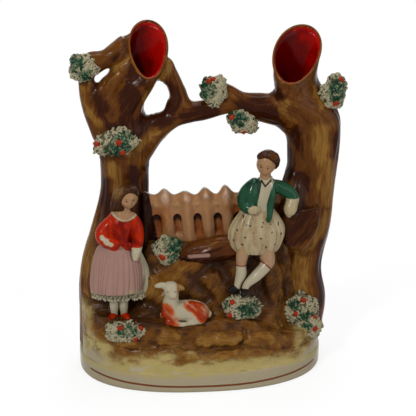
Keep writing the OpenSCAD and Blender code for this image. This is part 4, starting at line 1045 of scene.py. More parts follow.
def hair_piece(name, node, rows, foot, face, window, tilt, gleam, gleam_colour):
    """Hair as an upright form with fine locks, drawn in behind the face inside a tilted oval window. A gleam
    is given by its middle, x and z, and its half width and half height."""
    def share_of_window(points):
        """Distance from the middle of the window, 1 on its edge."""
        off, t = points - face, np.radians(tilt)
        across = off[..., 0] * np.cos(t) - off[..., 2] * np.sin(t)
        up = off[..., 0] * np.sin(t) + off[..., 2] * np.cos(t)
        return np.hypot(across / window[0], up / window[1])

    count, sides = 90, 240
    rings = level_rings(rows, count, sides)
    calm = np.maximum(ease(1.0, 1.4, share_of_window(rings)), ease(0, 2, rings[..., 1] - face[1]))
    a, height = turns(sides), np.linspace(0, 1, count)[:, None]
    axis = rings.mean(1, keepdims=True)
    locks = 0.04 * np.cos(19 * a + 5 * height) + 0.025 * np.cos(31 * a - 7 * height)
    rings = axis + (rings - axis) * (1 + locks * calm)[..., None]
    inside = ease(1.06, 0.88, share_of_window(rings)) * ease(1, -1, rings[..., 1] - face[1])
    rings = rings - (0.5 * inside)[..., None] * (rings - face)
    shape = skin(rings + foot)
    points = shape[0] - foot
    fine = rough(points * [1, 1, 0.12], 1.3, 6, 2)
    near = bell(np.maximum(share_of_window(points) - 1, 0), 0.35)
    at_x, at_z, wide, high = gleam
    shine = bell(np.hypot((points[:, 0] - at_x) / wide, (points[:, 2] - at_z) / high), 1)
    masks = {
        "gleam": shine * (1 + 0.7 * fine) * (1 - 0.6 * near),
        "lock": np.clip(0.5 + fine + 0.3 * near, 0, 1)}
    layers = [("lock", "bark_dark", 0.4, 1.2), ("gleam", gleam_colour, 0.1, 1.2)]
    material = glazed(name.replace("_", " ") + " glaze", "hair", layers, pool=0.4, ripple=0.15)
    make_piece(name, shape, material, [node], masks)


def corner_of(node, low=True):
    """Lowest or highest corner of a CAD node in millimetres."""
    return np.array(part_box(node)[0 if low else 1]) / MM


def pleated(rows, count, sides, folds, depth, seed, flat=0):
    """Upright form with a rounded hem, whose ovals swell in uneven round folds with sharp valleys. The folds
    fade towards the waist and, by the share called flat, towards the middle of the front."""
    a, share = turns(sides)[None], np.linspace(0, 1, count)[:, None]
    ring = points_of(np.cos(a) * 3, np.sin(a) * 3, share * 0.8)
    uneven = a + 0.24 * rough(ring, 1.3, seed, 2)
    wave = 2 * np.abs(np.cos(folds / 2 * uneven)) ** 0.7 - 1
    fade = (1 - 0.7 * share) * (1 - flat * np.maximum(-np.sin(a), 0) ** 2)
    rings = level_rings(rows, count, sides, 1 + depth / CLOTHES_HALF * wave * fade)
    middle = rings[0].mean(0)
    hem = ((0.3, 1.4), (0.86, 1.4), (0.93, 0.5), (0.975, 0.05))
    under = [middle + (rings[0] - middle) * size + [0, 0, lift] for size, lift in hem]
    # Valley is 1 under the hem and grows deep in the folds: it carries painted shade.
    valley = np.concatenate([np.ones((len(hem), sides)), np.clip(0.15 - wave, 0, 1) * fade])
    return skin(np.concatenate([under, rings + [0, 0, 0.15]])), np.append(valley.ravel(), [1, 1])


# Steps that make the pieces and the stage

class SpillVaseOperator:
    """Gives the operators the sizes of the scene."""

    @property
    def sizes(self):
        """Sizes as the user has set them."""
        return bpy.context.scene.spill_vase_sizes


class MakePlinth(SpillVaseOperator, Operator):
    """White oval plinth with a brown line, and the slab that closes it"""
    bl_idname = "spill_vase.make_plinth"
    bl_label = "Plinth"

    def execute(self, context):
        sizes = self.sizes
        shape = plinth_shape(sizes)
        points = shape[0]
        x, y, z = points.T
        # The line rises towards both ends of the front, and the wash starts above it.
        half = sizes.line_width / MM / 2
        bow = 2.8 * np.abs(x / 70) ** 2.5
        height = sizes.line_height / MM + bow + 0.12 * rough(points, 9, 4, 2)
        line = 1 - ease(half * 0.6, half * 1.4, np.abs(z - height))
        line *= (1 - ease(68, 71, np.abs(x))) * (1 - ease(4, 8, y))
        wash = ease(7.6, 12.6, z + 2 * rough(points, 14, 8, 3)) * (1 - ease(0, 10, y))
        layers = [("wash", "ground_pale", 0.1, 1.2), ("line", "gilt", 0.35, 0.65)]
        material = glazed("plinth glaze", "plinth", layers, pool=0.16, ripple=0.06)
        make_piece("oval_plinth", shape, material, ["plinth"], {"line": line, "wash": wash})
        slab_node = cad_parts["bottom_slab"]
        slab_node.data.materials.clear()
        slab_node.data.materials.append(glazed("slab clay", "plinth", pool=0.3, ripple=0.2))
        return {"FINISHED"}


class MakeGround(SpillVaseOperator, Operator):
    """Rocky ground under the figures"""
    bl_idname = "spill_vase.make_ground"
    bl_label = "Ground"

    def execute(self, context):
        shape, masks = ground_shape(self.sizes)
        points = shape[0]
        x, y, z = points.T
        # Streaks lie level on the slope and fall aslant on the bank. Both ends of the ground are paler.
        bank = ease(38, 46, z)
        left_end = 0.75 * ease(-62, -71, x) * ease(54, 40, z)
        right_end = 0.55 * ease(50, 60, x) * ease(38, 28, z)
        ends = np.maximum(left_end, right_end) * (0.8 + 0.5 * rough(points, 7, 21, 2))
        masks["wash"] = np.maximum(masks["wash"], ends)
        lying = points_of(z * 1.2, y, x * 0.16)
        falling = points_of(z * 0.75 - x * 0.66, y, (x * 0.75 + z * 0.66) * 0.16)
        masks["flow"] = (lying * (1 - bank[:, None]) + falling * bank[:, None]) * 2.2
        # Painted shade in hollows, under the log, beside the lamb and behind the girl's legs; painted light
        # on tops.
        shaded = sum(stroke(points, line, width) for line, width in (
            ([(2, 70), (14, 64), (34, 56)], 20), ([(-30, 46), (-36, 38)], 12), ([(-64, 45), (-38, 44)], 9)))
        dark = np.clip(masks["hollow"], 0, 1) * 0.8 + 0.7 * shaded + 0.5 * bank
        masks["dark"] = np.clip(dark, 0, 1.4) * (1 - 0.7 * masks["wash"])
        lit = 0.5 * stroke(points, [(-6, 75), (-28, 56)], 9)
        masks["light"] = np.clip(-masks["hollow"], 0, 1) + 0.5 * masks["wash"] + lit
        layers = [
            ("wash", "ground_pale", 0.05, 1.0), ("cream", "white", 0.2, 1.3),
            ("bare", "plinth", 0.1, 1.1), ("plain", "back", 0.3, 0.7)]
        material = glazed(
            "ground glaze", "ground", layers, pool=0.5, ripple=0.3, streaks=("ground_dark", "bark_ochre"))
        make_piece("rocky_ground", shape, material, ["ground_mound"], masks)
        return {"FINISHED"}


class MakeTrees(SpillVaseOperator, Operator):
    """Two hollow trees with their boughs and red-lined mouths"""
    bl_idname = "spill_vase.make_trees"
    bl_label = "Trees"

    def execute(self, context):
        sizes = self.sizes
        layers = [
            ("plain", "back", 0.35, 0.65), ("rim", "rim", 0.3, 0.7),
            ("lined", "lining", 0.4, 0.6), ("lined_shade", "lining_shade", 0.2, 0.95)]
        material = glazed(
            "bark glaze", "bark", layers, pool=0.4, ripple=0.25, streaks=("bark_dark", "bark_ochre"))
        shape, masks = tree_shape(
            LEFT_TRUNK, [LEFT_UPPER, LEFT_LOWER, CROSS_BOUGH, MOUTH_STRUT], LEFT_WEBS, [], sizes)
        self.paint_bark(shape[0], masks, LEFT_DARK, LEFT_LIGHT)
        self.finish_tree(
            "left_tree", shape, LEFT_TRUNK, masks, LEFT_LINING, material,
            ["left_trunk_front", "left_trunk_back", "left_upper_bough", "left_lower_bough", "cross_bough",
             "mouth_strut"])
        shape, masks = tree_shape(RIGHT_TRUNK, [RIGHT_BOUGH], RIGHT_WEBS, [stump_rings()], sizes)
        self.paint_bark(shape[0], masks, RIGHT_DARK, RIGHT_LIGHT)
        self.paint_stump(shape[0], masks)
        self.finish_tree(
            "right_tree", shape, RIGHT_TRUNK, masks, RIGHT_LINING, material,
            ["right_trunk_front", "right_trunk_back", "right_bough", "elbow_stump"])
        return {"FINISHED"}

    @staticmethod
    def paint_bark(points, masks, dark, light):
        """Dark and ochre brush strokes whose edges wander. A few dark ones are painted shade, in the left
        fork, behind the girl's legs and under the right bough.
        """
        bent = points + rough(points, 9, 14, 3)[:, None] * [2.4, 0, 2.4]
        masks["dark"] = 1.25 * strokes(bent, dark)
        masks["light"] = strokes(bent, light)

    @staticmethod
    def paint_stump(points, masks):
        """The stump is darker than the trunk, and its streaks run aslant."""
        x, y, z = points.T
        stump = ease(1.5, -1.5, y) * ease(76, 79, z) * ease(107, 104, z)
        slant = points_of(x - 0.8 * z, y, 0.1 * (z + 0.8 * x))
        masks["flow"] = masks["flow"] * (1 - stump[:, None]) + slant * 0.8 * stump[:, None]
        masks["dark"] = masks["dark"] + 0.95 * stump

    @staticmethod
    def finish_tree(name, shape, trunk, masks, deep, material, nodes):
        """Paints the rim and the lining, with painted shade towards the left of the mouth, and adds the lip.
        """
        points = shape[0]
        depth = masks.pop("depth")
        below = ease(0.6, -0.6, masks.pop("level") - trunk[-1, 0])
        masks["rim"] = ease(0.2, 0.6, depth) * below
        masks["lined"] = ease(0.6, 1.1, depth) * below
        # Painted shade in the lining: darker towards the left of the mouth, and uneven in clouds.
        shade = deep - 0.065 * (points[:, 0] - trunk[-1, 1]) + 0.4 * rough(points, 14, 6)
        masks["lined_shade"] = masks["lined"] * np.clip(shade, 0, 1)
        lip = lip_shape(trunk)
        count = len(lip[0])
        masks = {key: np.concatenate([v, np.zeros((count, *v.shape[1:]))]) for key, v in masks.items()}
        masks["rim"][-count:] = np.clip(0.75 + 0.8 * rough(lip[0], 7, 3, 2), 0, 1)
        make_piece(name, joined([shape, lip]), material, nodes, masks)


class MakeFence(SpillVaseOperator, Operator):
    """Pressed fence of round-topped posts with recessed gaps"""
    bl_idname = "spill_vase.make_fence"
    bl_label = "Fence"

    def execute(self, context):
        layers = [
            ("brown", "fence_brown", 0.2, 0.95), ("pale", "fence_pale", 0.2, 1.0),
            ("under", "fence_shade", 0.2, 0.8), ("plain", "back", 0.3, 0.7)]
        material = glazed("fence glaze", "fence", layers, pool=0.6, ripple=0.2)
        shape, masks = self.fence_shape()
        make_piece("post_fence", shape, material, ["fence_panel"], masks)
        return {"FINISHED"}

    @staticmethod
    def fence_shape():
        """Slab whose front is a depth over across and up: posts stand out as cosine waves, arched gaps are
        set in, knobs stand out as bell curves, and the top edge rolls back."""
        columns, rows = 330, 110
        left, right, foot, back_y = -35, 50, 72.2, 7.9
        pitch, first, slant, slant_top = 12.3, -21.6, np.tan(np.radians(5)), 111.6
        dip, arch_top = 112.2, 100.6
        post_tops = [114.6, 116, 114.3, 116.2, 117.4, 115.4, 116, 115]
        across = np.linspace(left, right, columns)
        share = np.linspace(0, 1, rows)[:, None]
        phase = (across - first) / pitch
        near = np.round(phase)
        off = np.abs(phase - near) * pitch
        tall = np.interp(near, range(-1, 7), post_tops)
        low = dip + 0.3 * np.sin(across * 0.4)
        top = low + (tall - low) * (0.5 + 0.5 * np.cos(np.pi * np.minimum(off / 5.8, 1)))
        z = foot + (top - foot) * share
        x = np.broadcast_to(across, (rows, columns)) + (slant_top - z) * slant * ease(left, -24, across)
        off = off + 0 * z
        mid = np.abs(off - pitch / 2)
        post = 0.5 + 0.5 * np.cos(np.pi * np.minimum(off / 5.4, 1))
        arch = arch_top - 0.3 * mid ** 2
        gap = (1 - ease(1.9, 2.9, mid)) * (1 - ease(arch - 0.9, arch + 0.4, z)) * ease(86, 89, z)
        place = points_of(x, 0, z * 0.5)
        knob = bell(off, 2.4) * bell(z - (top - 4.0), 1.9) + 0.8 * bell(mid, 2) * bell(z - 106.4, 1.6)
        y = 3.4 - 2.6 * post * (0.75 + 0.25 * ease(112, 101, z)) + 2.6 * gap - 1.3 * knob
        y = y + 0.35 * rough(place, 4, 5)
        y = y + 1.4 * ease(top - 2.4, top, z) ** 2
        front = points_of(x, y, z)
        back = points_of(x, back_y - 1.2 * ease(top - 2.2, top, z) ** 2, z)
        sway = rough(place, 7, 15)
        corner = ease(0.8, -0.8, x + 30.8 - (112 - z) * 0.14 - 0.6 * sway)
        # Painted shade at the tops of the recessed gaps, and a painted shadow in the corner by the left tree.
        under = np.maximum(gap * bell(np.maximum(arch - z - 1.0, 0), 4.2), corner)
        brown = ease(112, 104, z) * (0.5 + 0.8 * sway - 0.35 * post) + 0.8 * gap
        brown = brown + 0.3 * ease(92, 80, z) - 0.4 * knob
        # Pale pink on the upper posts and the knobs, partly a painted highlight.
        pale = post * ease(102, 112, z) * (0.6 + 0.5 * rough(place, 5, 27)) + 0.5 * knob
        painted = {"under": under, "brown": np.clip(brown, 0, 1), "pale": np.clip(pale, 0, 1), "plain": 0 * z}
        masks = {
            key: np.concatenate([values.ravel(), np.full(values.size, float(key == "plain"))])
            for key, values in painted.items()}
        return slab(front, back), masks


class MakeLog(SpillVaseOperator, Operator):
    """Fallen log with a torn end, on the front of the bank"""
    bl_idname = "spill_vase.make_log"
    bl_label = "Log"

    def execute(self, context):
        rows = [
            [24, -4.2, 81.4, 8.0], [14, -4.4, 81.2, 8.0], [6, -4.6, 80.4, 7.9], [-2, -4.8, 79.4, 6.9],
            [-8, -5.2, 78.2, 5.2], [-12, -5.6, 77.2, 3.0]]
        # A limb pushed out by grain along it and by a slow swell; one smooth face carries a painted
        # highlight.
        shape = skin(limb(rows, 130, 170, round_start=False))
        points = shape[0]
        _, flow = beside_limb(points, rows)
        flow = flow * [1, 1, 0.09]
        grain = rough(flow, 2.2, 12) + 0.9 * (1 - 2 * np.abs(rough(flow, 4.4, 19, 2)))
        swell = rough(points * [0.4, 1, 1], 7, 23, 2)
        highlight_facet = stroke(points, [(-8, 78), (-3, 78.6), (3, 79.2)], 2.2) * ease(-8, -9, points[:, 1])
        points = points + (0.4 * grain * (1 - highlight_facet) + 0.7 * swell)[:, None] * normals(*shape)
        x, y, z = points.T
        aslant = points_of(z - 0.45 * x, y, (x + 0.45 * z) * 0.12)
        # Painted shade on the underside of the log and painted light on its top.
        masks = {
            "flow": aslant, "dark": 0.25 + 0.7 * ease(81, 75, z), "light": 0.3 * ease(82, 86, z),
            "highlight_facet": highlight_facet}
        material = glazed(
            "log glaze", "log", [("highlight_facet", "mauve", 0.3, 1.2)], pool=0.5, ripple=0.25,
            streaks=("log_dark", "bark_ochre"))
        make_piece(
            "fallen_log_wood", (points, *shape[1:]), material, ["fallen_log"], masks)
        return {"FINISHED"}


class MakeGirl(SpillVaseOperator, Operator):
    """Standing girl in an orange-red bodice and a mauve pleated skirt"""
    bl_idname = "spill_vase.make_girl"
    bl_label = "Girl"

    def execute(self, context):
        # The figure is drawn from its own foot, which is found from the lowest corner of the head.
        foot = corner_of("girl_head") - GIRL_HEAD
        self.make_skirt(foot)
        self.make_petticoat(foot)
        self.make_legs(foot)
        self.make_bodice(foot)
        self.make_head(foot)
        return {"FINISHED"}

    def make_skirt(self, foot):
        """Pleated skirt with a pale patch at its hem."""
        rows = [
            [-0.9, 0, 19.2, 15.2, 10.2], [-0.8, 0, 24, 15.6, 10.4], [-0.6, 0, 32, 15, 9.9],
            [-0.6, 0, 40, 13.4, 8.9], [-0.6, 0, 46, 11, 7.6], [0.2, 0, 49, 8, 6]]
        shape, valley = pleated(rows, 70, 300, 34, self.sizes.pleat_depth / MM * 1.2, 3)
        points = shape[0]
        x, y, z = points.T
        hem = 0.7 * bell(np.hypot((x - 8) / 6, (z - 20) / 4), 1) * (y < 0)
        # The folds and the underside of the hem get painted shade.
        layers = [("fold_shade", "mauve_shade", 0.1, 1.2), ("hem", "cream", 0.2, 1.0)]
        material = glazed("mauve glaze", "mauve", layers, pool=0.22, ripple=0.1)
        make_piece(
            "girl_pleated_skirt", (points + foot, *shape[1:]), material, ["girl_skirt"],
            {"fold_shade": valley, "hem": hem})

    def make_petticoat(self, foot):
        """Petticoat that shows beside and under the skirt, with two rows of clay dots as a frill."""
        rows = [
            [1.5, 3.5, 14, 16.5, 8], [1.5, 3.5, 19, 17.4, 8.5], [1.8, 3.5, 30, 16.5, 8],
            [1.5, 3.5, 43, 12, 6]]
        shape, valley = pleated(rows, 50, 300, 30, self.sizes.pleat_depth / MM * 2.2, 5)
        chance = np.random.default_rng(8)
        pairs = 70
        count = 2 * pairs
        a = np.repeat(turns(pairs), 2) + chance.uniform(-0.04, 0.04, count)
        level = np.tile([14.2, 15.8], pairs) + chance.uniform(-0.4, 0.4, count)
        hem = points_of(1.5 + 16.9 * np.cos(a), 3.5 + 8.3 * np.sin(a), level)
        dot = ball((0, 0, 0), (0.75, 0.8, 0.95), 8, 10)
        dots = strand_skins(hem[:, None, None] + dot * chance.uniform(0.8, 1.2, (count, 1, 1, 1)))
        shade = np.repeat(chance.uniform(-0.2, 0.5, count), len(dots[0]) // count)
        # Painted shade in the folds and low down under the skirt; each dot is darker or paler at random.
        under = np.maximum(valley, 0.9 * ease(19, 15, shape[0][:, 2]))
        points, quads, tris = joined([shape, dots])
        layers = [("fold_shade", "clay_shade", 0.0, 1.2)]
        material = glazed("frill glaze", "white", layers, pool=0.5, ripple=0.3)
        make_piece(
            "girl_linen_petticoat", (points + foot, quads, tris), material, ["girl_petticoat"],
            {"fold_shade": np.concatenate([under, shade])})

    def make_legs(self, foot):
        """White stockings, and red shoes turned outward."""
        linen = glazed("linen glaze", "white", pool=0.25, ripple=0.12, gloss=0.16)
        shoes = []
        for name, x, turn in (("right", -2.7, -1), ("left", 3.0, 1)):
            leg = level_rings([
                [x, 0.6, 1.4, 2.2, 2.2], [x, 0.6, 3.5, 2.1, 2.1], [x, 0.6, 8, 2.7, 2.8],
                [x, 0.6, 16, 2.8, 2.9]], 30, 40)
            make_piece(f"girl_{name}_stocking", skin(leg + foot), linen, [f"girl_{name}_leg"])
            shoe = limb([
                [x, 2.4, 1.6, 1.6], [x, 1, 1.9, 2.2], [x + turn * 0.9, -1.2, 1.9, 2.3],
                [x + turn * 2.2, -3.6, 1.5, 1.9], [x + turn * 2.9, -4.8, 1.2, 1.2]], 30, 32)
            shoes.append(skin(shoe + foot))
        shape = joined(shoes)
        red = glazed("red glaze", "red", [("deep", "red_dark", 0.3, 1.1)], pool=0.4, ripple=0.08)
        deep = np.clip(0.4 + rough(shape[0], 3, 4), 0, 1)
        make_piece("girl_red_shoes", shape, red, ["girl_shoes"], {"deep": deep})

    def make_bodice(self, foot):
        """Bodice and arms welded into one skin, with the neckline, the collar and the hands painted on it."""
        bodice = [
            [0.7, 0, 47.6, 7.4, 6.1], [1.2, -0.3, 54.2, 8, 6.7], [2.2, -0.6, 60.2, 8.6, 6.7],
            [3.4, 0, 65.4, 7.9, 5.7], [3.8, 0, 68.4, 5.8, 4.6], [4.6, -0.2, 69.8, 3.6, 3.5]]
        right_arm = [
            [-1, -0.5, 64, 3.4], [-4.2, -1.5, 60.8, 4.2], [-7.8, -2.5, 56.4, 4.6], [-7.4, -6, 53.1, 3.9],
            [-3, -8.2, 51.8, 3.2], [-0.2, -8.6, 51.4, 2.4]]
        left_arm = [
            [8.4, -0.6, 65.4, 3.3], [11.4, -1.4, 60.4, 3.8], [12.6, -2.7, 53, 3.6], [11.9, -4.9, 47.8, 3],
            [11, -7, 43.9, 2.6], [10.6, -7.8, 41.6, 1.9]]
        parts = [
            skin(level_rings(bodice, 40, 60)), skin(limb(right_arm, 50, 36)), skin(limb(left_arm, 50, 36)),
            skin(ball((-1.8, -6.4, 48.4), (3.3, 1.9, 2.8))), skin(ball((6.4, -6.1, 48.8), (3.1, 1.9, 2.7)))]
        points, quads, tris = weld(parts, self.sizes.figure_grid / MM, 6)
        seam = rough(points * [1, 1, 0.5], 3.4, 8, 2)
        points = points + 0.18 * seam[:, None] * normals(points, quads, tris)
        x, y, z = points.T
        forward = 1 - ease(-1.5, 1.5, y)
        edge = 63.8 + 0.055 * (x - 5.6) ** 2
        uneven = points + 0.5 * rough(points, 1.6, 9, 2)[:, None]
        right_hand = stroke(uneven, [(-8.4, 55.4), (-6.6, 53.4), (-3.2, 51.8)], 2.1) * (y < -5)
        left_hand = ease(0.3, -0.3, z - 48) * ease(8.2, 8.8, x)
        # Painted shade in the crease beside the left arm.
        shaded = stroke(points, [(5, 63), (8, 58), (8, 52)], 6)
        masks = {
            "bare": ease(-0.2, 0.2, z - (64.5 + 0.075 * (x - 5.6) ** 2)) * forward,
            "collar": ease(-0.2, 0.2, z - edge) * ease(-5.5, -4, x),
            "hand": np.maximum(right_hand, left_hand),
            "hem": 0.8 * bell(z - edge, 0.45) * forward * ease(0, 2, x),
            "deep": np.clip(0.3 + 0.7 * shaded + 0.6 * seam, 0, 1)}
        layers = [
            ("deep", "red_dark", 0.3, 1.1), ("collar", "white", 0.4, 0.6), ("bare", "flesh", 0.4, 0.6),
            ("hem", "hair_ochre", 0.3, 0.9), ("hand", "white", 0.4, 0.6)]
        material = glazed("bodice glaze", "red", layers, pool=0.4, ripple=0.1)
        make_piece(
            "girl_red_bodice", (points + foot, quads, tris), material,
            ["girl_bodice", "girl_right_arm", "girl_left_arm"], masks)

    def make_head(self, foot):
        """Head, neck and long hair."""
        face = foot + [7.2, -1.2, 76.8]
        neck = np.array([[4.8, 0.2, 66.5, 3.4], [5.4, -0.2, 69.4, 3], [6.6, -0.4, 73, 2.9]]) + [*foot, 0]
        head_piece("girl_face", "girl_head", face, neck, (11.6, 12, 13.6), (12, 8, -3))
        hair = [
            [4.8, 2.4, 66.2, 6.6, 3], [4.8, 1.6, 68.2, 7.6, 4.6], [5, 0.4, 72, 7.8, 6],
            [5.5, -0.4, 76, 7.8, 6.8], [6, -0.7, 80, 7.2, 6.9], [6.6, -0.4, 83, 5.2, 5.4],
            [6.9, 0, 84.8, 1.8, 1.9]]
        hair_piece(
            "girl_long_hair", "girl_hair", hair, foot, face - foot + [0.5, 0, -2.2], (5.4, 7.2), 8,
            (1.6, 80.5, 6, 5), "hair_ochre")


class MakeBoy(SpillVaseOperator, Operator):
    """Sitting boy in a green jacket and a spotted kilt, one arm over the stump"""
    bl_idname = "spill_vase.make_boy"
    bl_label = "Boy"

    def execute(self, context):
        # The figure is drawn from its own foot, which is found from the lowest corner of the head.
        foot = corner_of("boy_head") - BOY_HEAD
        self.make_kilt(foot)
        self.make_jacket(foot)
        self.make_head(foot)
        self.make_legs(foot)
        return {"FINISHED"}

    def make_kilt(self, foot):
        """Pleated kilt with stains and with black and russet spots on its front."""
        rows = [
            [-1, -1, 22.5, 12.4, 8.8], [-1.2, -1, 25.5, 14.6, 9.8], [-0.8, -1, 31, 16.2, 10.5],
            [-0.2, -0.5, 37, 16, 10], [0, 0, 43, 13, 8.4], [0.2, 0, 48.5, 9, 6.4], [0.3, 0, 50, 7.6, 5.6]]
        shape, valley = pleated(rows, 100, 300, 17, self.sizes.pleat_depth / MM * 2.6, 9, 0.55)
        points = shape[0]
        front = points[:, 1] < -1
        black = spots(points, [
            (-9.2, 45.4, 0.5, 1), (-15, 43, 0.6, 0.8), (-5.6, 40.6, 0.7, 0.6), (-7.4, 41, 0.6, 0.6),
            (2.2, 42.4, 0.6, 0.5), (11.6, 40.6, 0.6, 1.3), (0.6, 33.4, 0.7, 0.6), (-8.6, 34, 0.7, 0.6),
            (-13, 37.5, 0.5, 0.8), (7.4, 36.5, 0.5, 0.7), (13.4, 34.5, 0.5, 1.0)]) * front
        russet = spots(points, [
            (1.4, 40, 0.8, 0.6), (6.6, 41.2, 0.9, 0.6), (-10.2, 29.4, 0.9, 0.8), (-15, 31, 0.5, 1.3),
            (3.8, 27.6, 0.7, 1.1), (9.4, 28.8, 0.6, 0.8), (-3.6, 36.6, 0.5, 0.5)]) * front
        stain = np.clip(1.6 * rough(points * [1, 1, 0.3], 3.4, 21, 2) + 0.3, 0, 1)
        # The folds get painted shade.
        layers = [
            ("stain", "hair_ochre", 0.1, 2.2), ("fold_shade", "clay_shade", 0.0, 1.4),
            ("russet", "red_dark", 0.3, 0.8), ("black", "ink", 0.3, 0.8)]
        material = glazed("cream glaze", "cream", layers, pool=0.2, ripple=0.1, gloss=0.2)
        make_piece(
            "boy_spotted_kilt", (points + foot, *shape[1:]), material, ["boy_kilt"],
            {"stain": stain, "fold_shade": valley, "black": black, "russet": russet})

    def make_jacket(self, foot):
        """Torso, arms and the two fronts of the jacket welded into one skin, the shirt sunk between them."""
        torso = [
            [0.2, 0, 46.5, 7.9, 6], [0.6, 0, 54, 8.2, 6.2], [2, 0, 60, 8.4, 5.9], [3.2, 0.3, 64.8, 7.2, 4.8],
            [4.2, 0.4, 67, 4.5, 3.9], [4.8, 0.2, 68.4, 3.5, 3.5]]
        right_arm = [
            [-2, 0, 64, 3.7], [-6.4, -0.5, 59, 4.7], [-8.2, -1.5, 53.4, 4.4], [-7, -5, 50.8, 3.6],
            [-3.4, -7.2, 50.8, 2.8], [-1.6, -7.6, 51, 2.1]]
        left_arm = [
            [6, 0.2, 63.2, 3.5], [12, 0.4, 61.6, 4.2], [18, 0.6, 58.6, 4.1], [20.8, 0, 55, 3.9],
            [20.2, -1.5, 51.5, 3.8], [19.2, -2.4, 48.2, 4], [18.7, -2.6, 45.6, 3], [18.6, -2.6, 44.6, 1.6]]
        right_strip = [
            [-2.6, -2, 66, 2, 2], [-4.4, -3.4, 60, 3.6, 3.4], [-5.2, -4, 54, 3.8, 3.6],
            [-5.4, -4.6, 49.5, 3, 3.4], [-5.4, -4.8, 47, 1.6, 2]]
        left_strip = [
            [8, -2, 66, 1.9, 2.3], [7.4, -4, 59, 2.8, 3.2], [6.2, -4.9, 51, 2.8, 3.2],
            [5.6, -6.8, 45.5, 2.1, 3], [5.4, -8, 42.4, 1.2, 1.8]]
        parts = [
            skin(level_rings(torso, 40, 60)), skin(limb(right_arm, 50, 36)), skin(limb(left_arm, 60, 36)),
            skin(level_rings(right_strip, 30, 40)), skin(level_rings(left_strip, 30, 40)),
            skin(ball((-3.4, -7.8, 50.2), (4.2, 2.5, 2.8)))]
        points, quads, tris = weld(parts, self.sizes.figure_grid / MM, 6)
        x, y, z = points.T
        middle = np.interp(z, [42, 48, 53, 60, 66], [1, 1.2, 1.6, 3.2, 5.2])
        half = np.interp(z, [42, 48, 53, 60, 66, 68], [2.8, 2.9, 2.7, 2.9, 3.6, 3.6])
        shirt = ease(0.35, -0.35, np.abs(x - middle) - half) * (y < -1) * ease(44, 46, z)
        crease = rough(points * [1, 1, 0.4], 3.2, 8, 2)
        points = points + (0.16 * crease - 0.35 * shirt)[:, None] * normals(points, quads, tris)
        right_hand = spots(points, [(-3.2, 50.2, 4.4, 3.1)]) * (y < -6.6)
        left_hand = ease(0.3, -0.3, z - 55) * ease(15, 15.6, x)
        masks = {
            "shirt": np.maximum(shirt, ease(66.3, 66.8, z) * (np.abs(x - 4.6) < 4)),
            "hand": np.maximum(right_hand, left_hand),
            "tie": stroke(points, [(1.6, 66.6), (3.6, 63.4), (7.4, 66.8)], 0.8) * (y < -2),
            "deep": np.clip(0.4 + 0.9 * crease, 0, 1)}
        layers = [
            ("deep", "green_deep", 0.3, 1.2), ("shirt", "white", 0.4, 0.6),
            ("hand", "cream", 0.4, 0.6), ("tie", "hair", 0.3, 0.8)]
        material = glazed("jacket glaze", "green", layers, pool=0.4, ripple=0.1, gloss=0.12)
        make_piece(
            "boy_jacket_and_shirt", (points + foot, quads, tris), material,
            ["boy_torso", "boy_right_arm", "boy_left_arm", "boy_jacket_right", "boy_jacket_left"], masks)

    def make_head(self, foot):
        """Head, neck and short hair."""
        face = foot + [4.4, -1.2, 76]
        neck = np.array([[4.2, 0.3, 65.5, 3.6], [4.2, 0, 68.5, 3.3], [4.4, -0.4, 72, 3.2]]) + [*foot, 0]
        head_piece("boy_face", "boy_head", face, neck, (11.4, 12, 15.2), (-18, 12, 10))
        hair = [
            [8.8, 2.6, 72.5, 2.4, 3.2], [7.8, 1.8, 75, 4.6, 5.2], [5.8, -0.2, 79, 6.5, 6.9],
            [5.6, -0.5, 82, 5.4, 5.8], [5.6, -0.3, 84.3, 1.8, 1.9]]
        hair_piece(
            "boy_short_hair", "boy_hair", hair, foot, face - foot + [-1.7, 0, -2], (5.7, 7.4), 24,
            (8, 81, 5, 3), "bark")

    def make_legs(self, foot):
        """Stockings up to the garters, bare knees, and black shoes."""
        layers = [("knee", "flesh", 0.1, 1.2), ("garter", "red_dark", 0.35, 0.75)]
        stocking = glazed("stocking glaze", "white", layers, pool=0.2, ripple=0.08, gloss=0.16)
        right_leg = [
            [-8.5, -5.5, 26, 4.4], [-10.1, -7.5, 20.4, 3.6], [-10.5, -8, 15.5, 3], [-10.6, -8.6, 10.5, 3.3],
            [-12.2, -9.4, 6, 2.4], [-13, -9.8, 2.6, 2]]
        left_leg = [
            [4, -4, 26, 5.4], [5.6, -7.2, 18, 4.3], [3.3, -8.8, 14.2, 3.6], [-2, -10.6, 9.5, 3.3],
            [-6.8, -11.4, 5.4, 2.4], [-8.4, -11.6, 2.6, 2]]
        for side, rows, garter in (("right", right_leg, 10.6), ("left", left_leg, 12.2)):
            shape = skin(limb(rows, 80, 60) + foot)
            along = beside_limb(shape[0] - foot, rows)[1][:, 2]
            make_piece(
                f"boy_{side}_stocking", shape, stocking, [f"boy_{side}_leg"],
                {"knee": ease(garter + 0.2, garter - 0.2, along), "garter": bell(along - garter, 0.5)})
        right_shoe = [
            [-12.2, -9.2, 1.6, 1.4], [-13.2, -9.7, 1.7, 2.1], [-15.4, -10.6, 1.4, 2.2],
            [-17.6, -11.5, 1.1, 1.6], [-18.4, -11.8, 1, 1]]
        left_shoe = [
            [-7.9, -10.9, 1.8, 1.4], [-8.4, -11.9, 1.4, 2.1], [-9.3, -13.6, 0.2, 2], [-10, -15, -0.9, 1.4],
            [-10.3, -15.6, -1.3, 0.9]]
        shape = joined([skin(limb(rows, 30, 32) + foot) for rows in (right_shoe, left_shoe)])
        black = glazed("black glaze", "ink", pool=0.5, ripple=0.06)
        make_piece("boy_black_shoes", shape, black, ["boy_shoes"])


